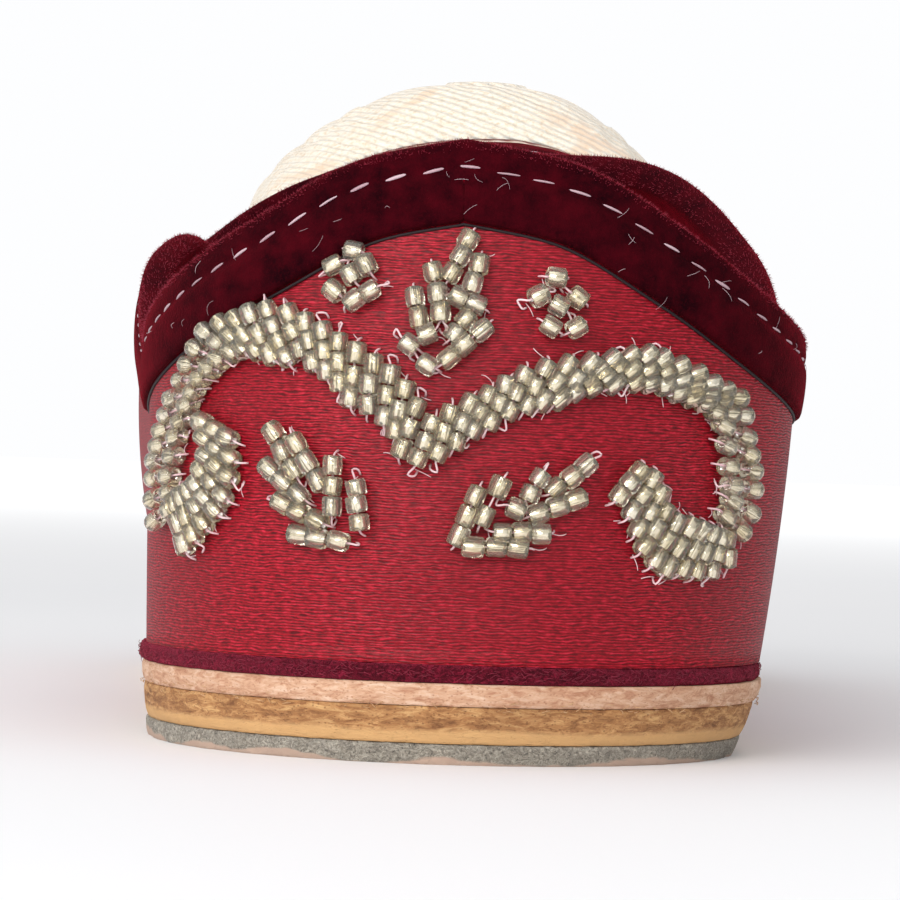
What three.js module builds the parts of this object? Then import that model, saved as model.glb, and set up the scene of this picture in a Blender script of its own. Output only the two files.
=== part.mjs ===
// A punjabi jutti, left foot, in millimetres. Z is up, the toe points along +Y and the heel faces -Y.
// +X is the medial side, on the right when the shoe is seen from behind.
// The part is an assembly: stacked leather sole, felt rand, hollow satin upper, folded velvet binding,
// insole, and the raised beadwork of the heel and vamp.
import * as THREE from "three";
import { mergeVertices } from "three/addons/utils/BufferGeometryUtils.js";

// Driving dimensions of the last
const LENGTH = 246;
const BALL_WIDTH = 80;
const HEEL_HEIGHT = 62;
const INSTEP_HEIGHT = 79.5;

// Thicknesses of the layers, from the floor up, and the gap between any two of them
const HEEL_LIFT = 1.8;
const OUTSOLE = 3.7;
const MIDSOLE = 1.9;
const RAND = 1.4;
const GAP = 0.3;
const UPPER_WALL = 2.2;
const INSOLE = 2.6;

// Edges of the layers, measured out from the foot of the upper
const SOLE_MARGIN = 0.3;
const RAND_MARGIN = 0.9;
const STACK_TAPER = { lateral: 0.5, medial: 2.2 };
const INSOLE_CLEARANCE = 0.7;

// Places along the sole: front of the heel lift, start of the tread, start of the toe spring
const LIFT_LENGTH = 61;
const TREAD_FROM = 104;
const TOE_SPRING_FROM = 186;
const TOE_SPRING = 8.5;

// Throat and binding
const THROAT = 128;
const THROAT_ROUND = 30;
const BAND_WIDTH = 7.8;
const BAND_INSIDE = 7;
const BINDING = 0.8;

// Raised work on the vamp
const MEDALLION_HEIGHT = 2;
const MEDALLION_HALF = 37;
const MEDALLION_FRONT = 212;
const MEDALLION_MARGIN = 1.6;

// Raised beadwork on the back of the heel
const BEADWORK_HEIGHT = 1.4;
const BEADWORK_MARGIN = 0.6;
const SCROLL_EDGE = 0.8;

// Rounding of the two ends of the plan outline, and of the toe seen from the side
const HEEL_ROUND = { reach: 37, power: 2.15 };
const TOE_ROUND = { reach: 62, power: 2.15 };
const TOE_PROFILE = { reach: 30, power: 2.1, tip: 0.3 };

// The plan outline: half-widths of the foot of the upper, as shares of the ball width
const OUTLINE = [
  { at: 0.0, lateral: 0.4, medial: 0.41 },
  { at: 0.14, lateral: 0.408, medial: 0.418 },
  { at: 0.28, lateral: 0.405, medial: 0.385 },
  { at: 0.42, lateral: 0.42, medial: 0.345 },
  { at: 0.55, lateral: 0.465, medial: 0.405 },
  { at: 0.66, lateral: 0.495, medial: 0.475 },
  { at: 0.74, lateral: 0.49, medial: 0.505 },
  { at: 0.84, lateral: 0.435, medial: 0.49 },
  { at: 0.93, lateral: 0.36, medial: 0.44 },
  { at: 1.0, lateral: 0.3, medial: 0.39 },
];

// The sections: swell is how far the wall stands out past its foot as a share of it, ridge the height of the
// top line as a share of the instep height, lean the ridge's shift to the medial side as a share of the ball
// width, and shoulder and side the two powers of the arch, higher being squarer
const SECTIONS = [
  { at: 0.0, swellLateral: 0.02, swellMedial: 0.09, ridge: 1.54, lean: 0.02, shoulder: 4, side: 2.6 },
  { at: 0.15, swellLateral: 0.025, swellMedial: 0.11, ridge: 1.5, lean: 0.02, shoulder: 4, side: 2.6 },
  { at: 0.26, swellLateral: 0.11, swellMedial: 0.16, ridge: 1.2, lean: 0.03, shoulder: 4.8, side: 2.6 },
  { at: 0.34, swellLateral: 0.16, swellMedial: 0.24, ridge: 0.96, lean: 0.05, shoulder: 5, side: 2.6 },
  { at: 0.42, swellLateral: 0.13, swellMedial: 0.25, ridge: 0.885, lean: 0.09, shoulder: 4.8, side: 2.6 },
  { at: 0.51, swellLateral: 0.05, swellMedial: 0.16, ridge: 0.855, lean: 0.08, shoulder: 4.0, side: 2.5 },
  { at: 0.55, swellLateral: 0.04, swellMedial: 0.11, ridge: 0.882, lean: 0.06, shoulder: 3.2, side: 2.35 },
  { at: 0.59, swellLateral: 0.03, swellMedial: 0.07, ridge: 0.955, lean: 0.045, shoulder: 2.7, side: 2.2 },
  { at: 0.63, swellLateral: 0.03, swellMedial: 0.05, ridge: 0.995, lean: 0.035, shoulder: 2.5, side: 2.15 },
  { at: 0.67, swellLateral: 0.02, swellMedial: 0.04, ridge: 0.985, lean: 0.03, shoulder: 2.4, side: 2.1 },
  { at: 0.76, swellLateral: 0.02, swellMedial: 0.03, ridge: 0.81, lean: 0.035, shoulder: 2.4, side: 2.1 },
  { at: 0.86, swellLateral: 0.02, swellMedial: 0.02, ridge: 0.59, lean: 0.045, shoulder: 2.3, side: 2.1 },
  { at: 0.94, swellLateral: 0.02, swellMedial: 0.02, ridge: 0.46, lean: 0.055, shoulder: 2.3, side: 2.1 },
  { at: 1.0, swellLateral: 0.02, swellMedial: 0.02, ridge: 0.39, lean: 0.055, shoulder: 2.3, side: 2.1 },
];
const SWELL_TOP = 0.45;

// The collar's height round each side, from the back of the heel (0) to the toe (1), as shares of the heel height
const COLLAR = [
  { around: 0.0, lateral: 1.0, medial: 1.0 },
  { around: 0.055, lateral: 0.957, medial: 0.96 },
  { around: 0.11, lateral: 0.87, medial: 0.868 },
  { around: 0.165, lateral: 0.77, medial: 0.772 },
  { around: 0.22, lateral: 0.692, medial: 0.7 },
  { around: 0.27, lateral: 0.645, medial: 0.665 },
  { around: 0.32, lateral: 0.68, medial: 0.71 },
  { around: 0.36, lateral: 0.77, medial: 0.8 },
  { around: 0.4, lateral: 0.86, medial: 0.91 },
  { around: 0.44, lateral: 0.9, medial: 1.035 },
  { around: 0.47, lateral: 0.82, medial: 1.08 },
  { around: 0.52, lateral: 0.69, medial: 1.09 },
];

// The scroll of beads, from its lateral curl to its medial one: its two edges, each as a share of the way round
// to the toe (minus on the lateral side) and a height up the wall as a share of the heel height
const SCROLL = [
  { around: -0.122, up: 0.355, innerAround: -0.142, innerUp: 0.379 },
  { around: -0.122, up: 0.282, innerAround: -0.137, innerUp: 0.315 },
  { around: -0.134, up: 0.226, innerAround: -0.148, innerUp: 0.266 },
  { around: -0.156, up: 0.18, innerAround: -0.164, innerUp: 0.242 },
  { around: -0.19, up: 0.195, innerAround: -0.173, innerUp: 0.24 },
  { around: -0.208, up: 0.245, innerAround: -0.178, innerUp: 0.262 },
  { around: -0.212, up: 0.315, innerAround: -0.174, innerUp: 0.32 },
  { around: -0.2, up: 0.385, innerAround: -0.162, innerUp: 0.39 },
  { around: -0.176, up: 0.458, innerAround: -0.146, innerUp: 0.448 },
  { around: -0.146, up: 0.516, innerAround: -0.126, innerUp: 0.486 },
  { around: -0.114, up: 0.55, innerAround: -0.101, innerUp: 0.496 },
  { around: -0.094, up: 0.562, innerAround: -0.084, innerUp: 0.492 },
  { around: -0.072, up: 0.54, innerAround: -0.068, innerUp: 0.47 },
  { around: -0.046, up: 0.492, innerAround: -0.048, innerUp: 0.419 },
  { around: -0.026, up: 0.445, innerAround: -0.028, innerUp: 0.38 },
  { around: -0.012, up: 0.405, innerAround: -0.016, innerUp: 0.336 },
  { around: 0.002, up: 0.415, innerAround: -0.002, innerUp: 0.35 },
  { around: 0.014, up: 0.438, innerAround: 0.008, innerUp: 0.38 },
  { around: 0.028, up: 0.468, innerAround: 0.022, innerUp: 0.411 },
  { around: 0.052, up: 0.49, innerAround: 0.042, innerUp: 0.435 },
  { around: 0.078, up: 0.508, innerAround: 0.064, innerUp: 0.455 },
  { around: 0.11, up: 0.498, innerAround: 0.096, innerUp: 0.46 },
  { around: 0.146, up: 0.452, innerAround: 0.124, innerUp: 0.43 },
  { around: 0.168, up: 0.372, innerAround: 0.142, innerUp: 0.375 },
  { around: 0.176, up: 0.3, innerAround: 0.15, innerUp: 0.31 },
  { around: 0.17, up: 0.23, innerAround: 0.15, innerUp: 0.268 },
  { around: 0.15, up: 0.178, innerAround: 0.143, innerUp: 0.232 },
  { around: 0.122, up: 0.166, innerAround: 0.128, innerUp: 0.226 },
  { around: 0.1, up: 0.185, innerAround: 0.11, innerUp: 0.242 },
  { around: 0.086, up: 0.25, innerAround: 0.098, innerUp: 0.3 },
  { around: 0.074, up: 0.29, innerAround: 0.088, innerUp: 0.33 },
];

// The leaves and florets beside it: centre and half-size in the same shares, and how far their lobes stand out
const MOTIFS = [
  { name: "heel_leaf_top", around: -0.005, up: 0.575, wide: 0.019, tall: 0.125, lobes: 5, depth: 0.12 },
  { name: "heel_leaf_lateral", around: -0.07, up: 0.275, wide: 0.031, tall: 0.105, lobes: 6, depth: 0.1 },
  { name: "heel_leaf_medial", around: 0.03, up: 0.25, wide: 0.033, tall: 0.09, lobes: 6, depth: 0.1 },
  { name: "heel_floret_lateral", around: -0.052, up: 0.622, wide: 0.014, tall: 0.055, lobes: 5, depth: 0.14 },
  { name: "heel_floret_medial", around: 0.042, up: 0.585, wide: 0.014, tall: 0.055, lobes: 5, depth: 0.14 },
];

// Back of the heel, seen from the side: how far it bulges out and how far its top leans in
const BACK_BULGE = 1.6;
const BACK_LEAN = 3.4;
const BACK_REACH = 62;

// Counts of the facets
const RINGS = 23;
const THROAT_RINGS = 10;
const VAMP_RINGS = 22;
const ROWS = 13;
const ROW_CROWD = 0.75;
const VAMP_CROWD = 1.35;
const CHORD_ROOM = 0.2;
const VAMP_ROOM = 0.3;
const ARCH_STEPS = 48;
const SOLE_RINGS = 34;

const COLOURS = {
  satin: 0xa3122a,
  velvet: 0x4a0a18,
  rand: 0x5c1422,
  beige: 0xc79a7b,
  tan: 0xb27a42,
  split: 0x8b8a80,
  glass: 0xc9b98c,
  cream: 0xe6d6b4,
};

// Smooth curve through the rows of a table
function through(rows, key, column) {
  const xs = rows.map((row) => row[key]);
  const ys = rows.map((row) => row[column]);
  const last = xs.length - 1;
  const slope = xs.map((_, i) => {
    const before = Math.max(i - 1, 0);
    const after = Math.min(i + 1, last);
    return (ys[after] - ys[before]) / (xs[after] - xs[before]);
  });
  return (x) => {
    const held = Math.min(Math.max(x, xs[0]), xs[last]);
    let i = 0;
    while (i < last - 1 && held > xs[i + 1]) i++;
    const span = xs[i + 1] - xs[i];
    const t = (held - xs[i]) / span;
    const [t2, t3] = [t * t, t * t * t];
    return (
      ys[i] * (2 * t3 - 3 * t2 + 1) +
      ys[i + 1] * (3 * t2 - 2 * t3) +
      span * (slope[i] * (t3 - 2 * t2 + t) + slope[i + 1] * (t3 - t2))
    );
  };
}

const clamp01 = (x) => Math.min(Math.max(x, 0), 1);
const smooth = (from, to, x) => {
  const t = clamp01((x - from) / (to - from));
  return t * t * (3 - 2 * t);
};
const mix = (a, b, t) => a + (b - a) * t;
const rounding = (distance, { reach, power }) =>
  Math.max(1 - clamp01(1 - distance / reach) ** power, 0) ** (1 / power);

const SIDES = { lateral: -1, medial: 1 };
const outline = {
  lateral: through(OUTLINE, "at", "lateral"),
  medial: through(OUTLINE, "at", "medial"),
};
const swell = {
  lateral: through(SECTIONS, "at", "swellLateral"),
  medial: through(SECTIONS, "at", "swellMedial"),
};
const collar = {
  lateral: through(COLLAR, "around", "lateral"),
  medial: through(COLLAR, "around", "medial"),
};
const ridge = through(SECTIONS, "at", "ridge");
const lean = through(SECTIONS, "at", "lean");
const shoulder = through(SECTIONS, "at", "shoulder");
const sidePower = through(SECTIONS, "at", "side");

// A place round the outline, 0 at the back of the heel and 1 at the toe, as a place along the shoe, and back
const alongOf = (around) => (LENGTH * (1 - Math.cos(Math.PI * around))) / 2;
const aroundOf = (y) => Math.acos(1 - 2 * clamp01(y / LENGTH)) / Math.PI;

// Half-width of the foot of the upper on one side
function footHalf(y, side) {
  const ends = rounding(y, HEEL_ROUND) * rounding(LENGTH - y, TOE_ROUND);
  return BALL_WIDTH * outline[side](y / LENGTH) * ends;
}

// Heights of the sole's surfaces
function bottomOf(y) {
  const raised = (HEEL_LIFT + GAP) * (1 - smooth(LIFT_LENGTH, TREAD_FROM, y));
  return raised + TOE_SPRING * Math.max((y - TOE_SPRING_FROM) / (LENGTH - TOE_SPRING_FROM), 0) ** 2;
}
const outsoleTop = (y) => bottomOf(y) + OUTSOLE;
const midsoleTop = (y) => outsoleTop(y) + GAP + MIDSOLE;
const randTop = (y) => midsoleTop(y) + GAP + RAND;
const footOf = (y) => randTop(y) + GAP;

// The top line of the sections
const ridgeX = (y) => BALL_WIDTH * lean(y / LENGTH) * rounding(y, HEEL_ROUND) * rounding(LENGTH - y, TOE_ROUND);
function ridgeZ(y) {
  const toe = mix(TOE_PROFILE.tip, 1, rounding(LENGTH - y, TOE_PROFILE));
  return footOf(y) + (INSTEP_HEIGHT - footOf(THROAT)) * ridge(y / LENGTH) * toe;
}

// The heel's back is bulged and leans in towards its top
function backShift(y, z) {
  const up = (z - footOf(y)) / (HEEL_HEIGHT - footOf(y));
  const reach = clamp01(1 - y / BACK_REACH) ** 2;
  return reach * (BACK_LEAN * up * up - BACK_BULGE * Math.sin(Math.PI * clamp01(up)));
}

// One side of the section at a place along the shoe, as points from the foot to the ridge with their run
const archCache = new Map();
function arch(y, side) {
  const key = side + y;
  if (archCache.has(key)) return archCache.get(key);
  const foot = footHalf(y, side);
  const widest = foot * (1 + swell[side](y / LENGTH));
  const [top, centre] = [ridgeZ(y), ridgeX(y)];
  const [bottom, edge] = [footOf(y), SIDES[side] * widest - centre];
  const [upPower, sideways] = [shoulder(y / LENGTH), sidePower(y / LENGTH)];
  const points = [];
  let run = 0;
  for (let i = 0; i <= ARCH_STEPS; i++) {
    const turn = (Math.PI / 2) * (i / ARCH_STEPS);
    const up = Math.sin(turn) ** (2 / upPower + 0.55 * Math.cos(turn));
    const inward = Math.max(1 - up ** upPower, 0) ** (1 / sideways);
    const tuck = SIDES[side] * (widest - foot) * Math.max(0, 1 - up / SWELL_TOP) ** 2;
    const x = centre + edge * inward - tuck;
    const z = bottom + (top - bottom) * up;
    if (i > 0) run += Math.hypot(x - points[i - 1].x, z - points[i - 1].z);
    points.push({ x, z, run });
  }
  archCache.set(key, points);
  return points;
}

// Reads a section where one of its columns passes a value
function archAt(points, column, value) {
  let i = 1;
  while (i < points.length - 1 && points[i][column] < value) i++;
  const [a, b] = [points[i - 1], points[i]];
  const t = (value - a[column]) / (b[column] - a[column] || 1);
  return { x: mix(a.x, b.x, t), z: mix(a.z, b.z, t), run: mix(a.run, b.run, t) };
}
const fullRun = (y, side) => arch(y, side)[ARCH_STEPS].run;

// How far up its section the collar edge lies: by height along the walls, then closing round the throat
function collarRun(y, side) {
  const full = fullRun(y, side);
  if (y >= THROAT) return full;
  const wall = archAt(arch(y, side), "z", HEEL_HEIGHT * collar[side](aroundOf(y))).run;
  const forward = clamp01(1 - (THROAT - y) / THROAT_ROUND);
  return full - (full - wall) * Math.sqrt(1 - forward ** 2);
}

// A point of the upper's outside, and the outward normal there
function surface(around, run, side) {
  const y = alongOf(around);
  const p = archAt(arch(y, side), "run", run);
  return new THREE.Vector3(p.x, y + backShift(y, p.z), p.z);
}
function frameAt(around, run, side) {
  const [da, dr] = [2e-3, 0.2];
  const from = Math.max(around - da, 0);
  const to = Math.min(around + da, 1);
  const share = run / fullRun(alongOf(around), side);
  const held = (a) => surface(a, share * fullRun(alongOf(a), side), side);
  const forward = held(to).sub(held(from));
  if (around < da) forward.set(SIDES[side], 0, 0);
  const up = surface(around, run + dr, side).sub(surface(around, Math.max(run - dr, 0), side));
  const normal = forward.clone().cross(up).normalize();
  if (side === "lateral") normal.negate();
  return { forward, up, normal };
}

// The same point, carrying its normal
function surfacePoint(around, run, side) {
  const point = surface(around, run, side);
  point.normal = frameAt(around, run, side).normal;
  return point;
}

// Places where sections are taken: round the heel, closing on the throat, and over the vamp
function collarStations() {
  const start = aroundOf(THROAT - THROAT_ROUND);
  const round = Array.from({ length: RINGS }, (_, i) => (start * i) / RINGS);
  const closing = Array.from({ length: THROAT_RINGS + 1 }, (_, i) => {
    const forward = Math.sin((Math.PI / 2) * (i / THROAT_RINGS));
    return aroundOf(THROAT - THROAT_ROUND * (1 - forward));
  });
  return [...round, ...closing];
}
function vampStations() {
  const from = aroundOf(THROAT);
  return Array.from({ length: VAMP_RINGS }, (_, i) => mix(from, 1, ((i + 1) / VAMP_RINGS) ** VAMP_CROWD));
}

// A skin over a grid of points, rows by columns
function skin(grid, turned) {
  const points = grid.flat();
  const positions = points.flatMap((p) => [p.x, p.y, p.z]);
  const normals = points.map((p) => p.normal);
  const index = [];
  const width = grid[0].length;
  for (let i = 0; i + 1 < grid.length; i++)
    for (let j = 0; j + 1 < width; j++) {
      const [a, b, c, d] = [i * width + j, i * width + j + 1, (i + 1) * width + j, (i + 1) * width + j + 1];
      index.push(...(turned ? [a, b, c, b, d, c] : [a, c, b, b, c, d]));
    }
  return { positions, normals, index };
}

// Several skins as one mesh, with shared points merged and empty triangles dropped
function joined(...skins) {
  const positions = [];
  const normals = [];
  const index = [];
  for (const part of skins) {
    const base = positions.length / 3;
    for (const value of part.positions) positions.push(value);
    for (const normal of part.normals) normals.push(normal);
    for (const i of part.index) index.push(i + base);
  }
  const loose = new THREE.BufferGeometry();
  loose.setAttribute("position", new THREE.Float32BufferAttribute(positions, 3));
  loose.setIndex(index);
  const merged = mergeVertices(loose, 2e-3);
  const kept = [];
  const at = merged.index.array;
  for (let i = 0; i < at.length; i += 3)
    if (at[i] !== at[i + 1] && at[i + 1] !== at[i + 2] && at[i] !== at[i + 2])
      kept.push(at[i], at[i + 1], at[i + 2]);
  const used = [...new Set(kept)].sort((a, b) => a - b);
  const renumbered = new Map(used.map((old, fresh) => [old, fresh]));
  const source = merged.attributes.position;
  const tidy = new THREE.BufferGeometry();
  const flat = used.flatMap((i) => [source.getX(i), source.getY(i), source.getZ(i)]);
  tidy.setAttribute("position", new THREE.Float32BufferAttribute(flat, 3));
  tidy.setIndex(kept.map((i) => renumbered.get(i)));
  if (!normals.every(Boolean)) return tidy;
  const sums = used.map(() => new THREE.Vector3());
  at.forEach((i, k) => renumbered.has(i) && sums[renumbered.get(i)].add(normals[index[k]]));
  const units = sums.flatMap((sum) => sum.normalize().toArray());
  tidy.setAttribute("normal", new THREE.Float32BufferAttribute(units, 3));
  return tidy;
}

// A wall over an open skin: one face at each offset along the normals, and edges that close it
function thicken(open, inner, outer) {
  const [place, normal] = [open.attributes.position, open.attributes.normal];
  const count = place.count;
  const positions = [];
  for (const offset of [outer, inner])
    for (let i = 0; i < count; i++) {
      const y = place.getY(i) + normal.getY(i) * offset;
      const z = place.getZ(i) + normal.getZ(i) * offset;
      positions.push(place.getX(i) + normal.getX(i) * offset, y, Math.max(z, footOf(y)));
    }
  const index = [];
  const edges = new Map();
  const at = open.index.array;
  for (let i = 0; i < at.length; i += 3) {
    const [a, b, c] = [at[i], at[i + 1], at[i + 2]];
    index.push(a, b, c, a + count, c + count, b + count);
    const sides = [
      [a, b],
      [b, c],
      [c, a],
    ];
    for (const [p, q] of sides)
      if (!edges.delete(q + "_" + p)) edges.set(p + "_" + q, [p, q]);
  }
  for (const [p, q] of edges.values()) index.push(p, p + count, q + count, p, q + count, q);
  const solid = new THREE.BufferGeometry();
  solid.setAttribute("position", new THREE.Float32BufferAttribute(positions, 3));
  solid.setIndex(index);
  return solid;
}

// A closed ring of closed sections, each a loop of points in order
function ringOf(loops) {
  const grid = [...loops, loops[0]].map((loop) => [...loop, loop[0]]);
  return joined(skin(grid, false));
}

// Upper: the outside from the foot to the collar edge and over the vamp, with its wall inside
function upperSkin() {
  const stations = [...collarStations(), ...vampStations()];
  const sides = Object.keys(SIDES).map((side) => {
    const grid = stations.map((around) => {
      const end = collarRun(alongOf(around), side);
      return Array.from({ length: ROWS + 1 }, (_, j) => surfacePoint(around, end * (j / ROWS) ** ROW_CROWD, side));
    });
    return skin(grid, side === "lateral");
  });
  return joined(...sides);
}
const upper = () => thicken(upperSkin(), -UPPER_WALL, 0);

// A line on the upper's outside that runs beside the collar edge, let down from it by an inset
function besideCollar(around, side, inset) {
  const y = alongOf(around);
  const run = collarRun(y, side);
  const step = 1e-3;
  const [back, front] = [Math.max(around - step, 0), around + step];
  const edge = (a) => surface(a, collarRun(alongOf(a), side), side);
  const tangent = edge(Math.min(front, aroundOf(THROAT))).sub(edge(back));
  if (around < step) tangent.set(SIDES[side], 0, 0);
  if (around > aroundOf(THROAT) - step) tangent.set(-SIDES[side], 0, 0);
  tangent.normalize();
  const { normal } = frameAt(around, run, side);
  const down = normal.clone().cross(tangent);
  if (side === "medial") down.negate();
  return stepped(around, run, side, down, inset);
}

// Walks a short way over the outside in a direction, in a few steps held to the surface
function stepped(around, run, side, direction, distance) {
  const steps = 4;
  const leg = distance / steps;
  let [a, r] = [around, run];
  for (let i = 0; i < steps; i++) {
    const here = surface(a, r, side);
    const alongStep = surface(a + 1e-3, r, side).sub(here).multiplyScalar(1e3);
    const upStep = r > 1 ? here.clone().sub(surface(a, r - 1, side)) : surface(a, r + 1, side).sub(here);
    const [aa, bb, ab] = [alongStep.dot(alongStep), upStep.dot(upStep), alongStep.dot(upStep)];
    const [da, db] = [alongStep.dot(direction) * leg, upStep.dot(direction) * leg];
    const det = aa * bb - ab * ab;
    a = Math.max(a + (da * bb - db * ab) / det, 0);
    r = r + (db * aa - da * ab) / det;
    r = Math.min(r, fullRun(alongOf(a), side));
  }
  return { around: a, run: r };
}

function finished(name, geometry, colour, roughness) {
  const faceted = geometry.toNonIndexed();
  faceted.deleteAttribute("normal");
  faceted.computeVertexNormals();
  const material = new THREE.MeshStandardMaterial({ color: colour, roughness, metalness: 0 });
  const mesh = new THREE.Mesh(faceted, material);
  mesh.name = name;
  return mesh;
}

// A point of the foot's outline let out or in along its plan normal
function outlineAt(around, side, margin) {
  const step = 2e-3;
  const plan = (a) => {
    const y = alongOf(a);
    return new THREE.Vector2(SIDES[side] * footHalf(y, side), y);
  };
  const along = plan(Math.min(around + step, 1)).sub(plan(Math.max(around - step, 0)));
  if (around < step) along.set(SIDES[side], 0);
  if (around > 1 - step) along.set(-SIDES[side], 0);
  along.normalize();
  const out = new THREE.Vector2(along.y, -along.x).multiplyScalar(SIDES[side]);
  const reach = typeof margin === "function" ? margin(side) * Math.abs(out.x) + SOLE_MARGIN : margin;
  return plan(around).addScaledVector(out, reach);
}

// A flat layer between two heights, each with its own outline, from the heel to a place along the shoe
function layer({ low, high, lowMargin, highMargin, to = 1 }) {
  const stations = Array.from({ length: SOLE_RINGS + 1 }, (_, i) => (to * i) / SOLE_RINGS);
  const cut = to < 1 ? alongOf(to) : Infinity;
  const at = (around, side, margin, height) => {
    const p = outlineAt(around, side, margin);
    const y = Math.min(p.y, cut);
    return new THREE.Vector3(p.x, y, height(y));
  };
  const grid = stations.map((around) => [
    at(around, "lateral", lowMargin, low),
    at(around, "medial", lowMargin, low),
    at(around, "medial", highMargin, high),
    at(around, "lateral", highMargin, high),
    at(around, "lateral", lowMargin, low),
  ]);
  const skins = [skin(grid, false)];
  const [first, last] = [grid[0], grid[grid.length - 1]];
  skins.push(skin([[first[3], first[2]], [first[0], first[1]]], false));
  if (to < 1) skins.push(skin([[last[0], last[1]], [last[3], last[2]]], false));
  return joined(...skins);
}

// The stack's sides lean in towards the floor, more on the medial side
const stackHeight = OUTSOLE + MIDSOLE + HEEL_LIFT + 2 * GAP;
const leanedIn = (height) => (side) => -STACK_TAPER[side] * (1 - height / stackHeight);

const heelLift = () =>
  layer({
    low: () => 0,
    high: () => HEEL_LIFT,
    lowMargin: leanedIn(0),
    highMargin: leanedIn(HEEL_LIFT),
    to: aroundOf(LIFT_LENGTH),
  });
const outsole = () =>
  layer({
    low: bottomOf,
    high: outsoleTop,
    lowMargin: leanedIn(HEEL_LIFT + GAP),
    highMargin: leanedIn(HEEL_LIFT + GAP + OUTSOLE),
  });
const midsole = () =>
  layer({
    low: (y) => outsoleTop(y) + GAP,
    high: midsoleTop,
    lowMargin: leanedIn(HEEL_LIFT + 2 * GAP + OUTSOLE),
    highMargin: leanedIn(stackHeight),
  });
const rand = () =>
  layer({ low: (y) => midsoleTop(y) + GAP, high: randTop, lowMargin: RAND_MARGIN, highMargin: RAND_MARGIN });
const insole = () => {
  const margin = -(UPPER_WALL + INSOLE_CLEARANCE);
  return layer({ low: footOf, high: (y) => footOf(y) + INSOLE, lowMargin: margin, highMargin: margin });
};

// Binding: a folded channel that runs once round the collar edge, outside, over and inside
function bindingSection(around, side) {
  const outer = [BAND_WIDTH, BAND_WIDTH * 0.66, BAND_WIDTH * 0.33, 0];
  const inner = [0, BAND_INSIDE * 0.5, BAND_INSIDE];
  const at = (inset, offset) => {
    const place = besideCollar(around, side, inset);
    const { normal } = frameAt(place.around, place.run, side);
    return surface(place.around, place.run, side).addScaledVector(normal, offset);
  };
  const edge = besideCollar(around, side, 0);
  const below = besideCollar(around, side, 1);
  const up = surface(edge.around, edge.run, side).sub(surface(below.around, below.run, side)).normalize();
  const [near, far] = [GAP, GAP + BINDING];
  const within = -UPPER_WALL - CHORD_ROOM;
  return [
    ...outer.map((inset) => at(inset, far)),
    at(0, far * 0.6).addScaledVector(up, far * 0.8),
    at(0, within / 2).addScaledVector(up, far * 1.05),
    at(0, within - far * 0.6).addScaledVector(up, far * 0.8),
    ...inner.map((inset) => at(inset, within - far)),
    ...[...inner].reverse().map((inset) => at(inset, within - near)),
    at(0, within - near).addScaledVector(up, near),
    at(0, near).addScaledVector(up, near),
    ...[...outer].reverse().map((inset) => at(inset, near)),
  ];
}
function binding() {
  const stations = collarStations();
  const medial = stations.map((around) => bindingSection(around, "medial"));
  const lateral = stations.map((around) => bindingSection(around, "lateral"));
  const back = lateral.slice(1, -1).reverse();
  return ringOf([...medial, ...back]);
}

// Raised needlework over the vamp, from just ahead of the binding to a rounded front
function vampRelief() {
  const across = 20;
  const rows = 13;
  const middle = (vampRear(0, "lateral") + vampRear(0, "medial")) / 2;
  const grids = Object.keys(SIDES).map((side) => {
    const grid = Array.from({ length: across / 2 + 1 }, (_, i) => {
      const share = i / (across / 2);
      const girth = MEDALLION_HALF * share;
      const rear = vampRear(girth, side) + (middle - vampRear(0, side)) * (1 - share);
      const front = rear + (MEDALLION_FRONT - rear) * (1 - 0.62 * share ** 2.2);
      return Array.from({ length: rows + 1 }, (_, j) => {
        const y = mix(rear, front, j / rows);
        return surfacePoint(aroundOf(y), Math.max(fullRun(y, side) - girth, 0), side);
      });
    });
    return skin(grid, side === "lateral");
  });
  return thicken(joined(...grids), GAP + VAMP_ROOM, GAP + VAMP_ROOM + MEDALLION_HEIGHT);
}

// The line beside the binding's lower edge, a margin away from it
function bandLine(side, margin) {
  return collarStations().map((around) => {
    const place = besideCollar(around, side, BAND_WIDTH + margin);
    const y = alongOf(place.around);
    return { ...place, y, away: fullRun(y, side) - place.run };
  });
}

// Where the raised work starts at a girth from the ridge: just ahead of the binding's lower line
function vampRear(girth, side) {
  const line = bandLine(side, MEDALLION_MARGIN).slice(RINGS);
  let i = 1;
  while (i < line.length - 1 && line[i].away > girth) i++;
  const [a, b] = [line[i - 1], line[i]];
  return mix(a.y, b.y, clamp01((girth - a.away) / (b.away - a.away || 1)));
}

// A point on the heel's wall, minus on the lateral side, held below the binding
const heelLimits = { lateral: bandLine("lateral", BEADWORK_MARGIN), medial: bandLine("medial", BEADWORK_MARGIN) };
function heelPoint(around, up) {
  const side = around < 0 ? "lateral" : "medial";
  const line = heelLimits[side];
  let i = 1;
  while (i < line.length - 1 && line[i].around < Math.abs(around)) i++;
  const [a, b] = [line[i - 1], line[i]];
  const limit = mix(a.run, b.run, clamp01((Math.abs(around) - a.around) / (b.around - a.around || 1)));
  return surfacePoint(Math.abs(around), Math.min(up * HEEL_HEIGHT, limit), side);
}
const relief = (open) => thicken(open, GAP + CHORD_ROOM, GAP + CHORD_ROOM + BEADWORK_HEIGHT);

// The scroll: a band between its two edges, let out a little past the beads
function heelScroll() {
  const across = [1 + SCROLL_EDGE / 7, 0.5, -SCROLL_EDGE / 7];
  const grid = SCROLL.map((row) =>
    across.map((t) => heelPoint(mix(row.around, row.innerAround, t), mix(row.up, row.innerUp, t))),
  );
  return relief(joined(skin(grid, false)));
}

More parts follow.
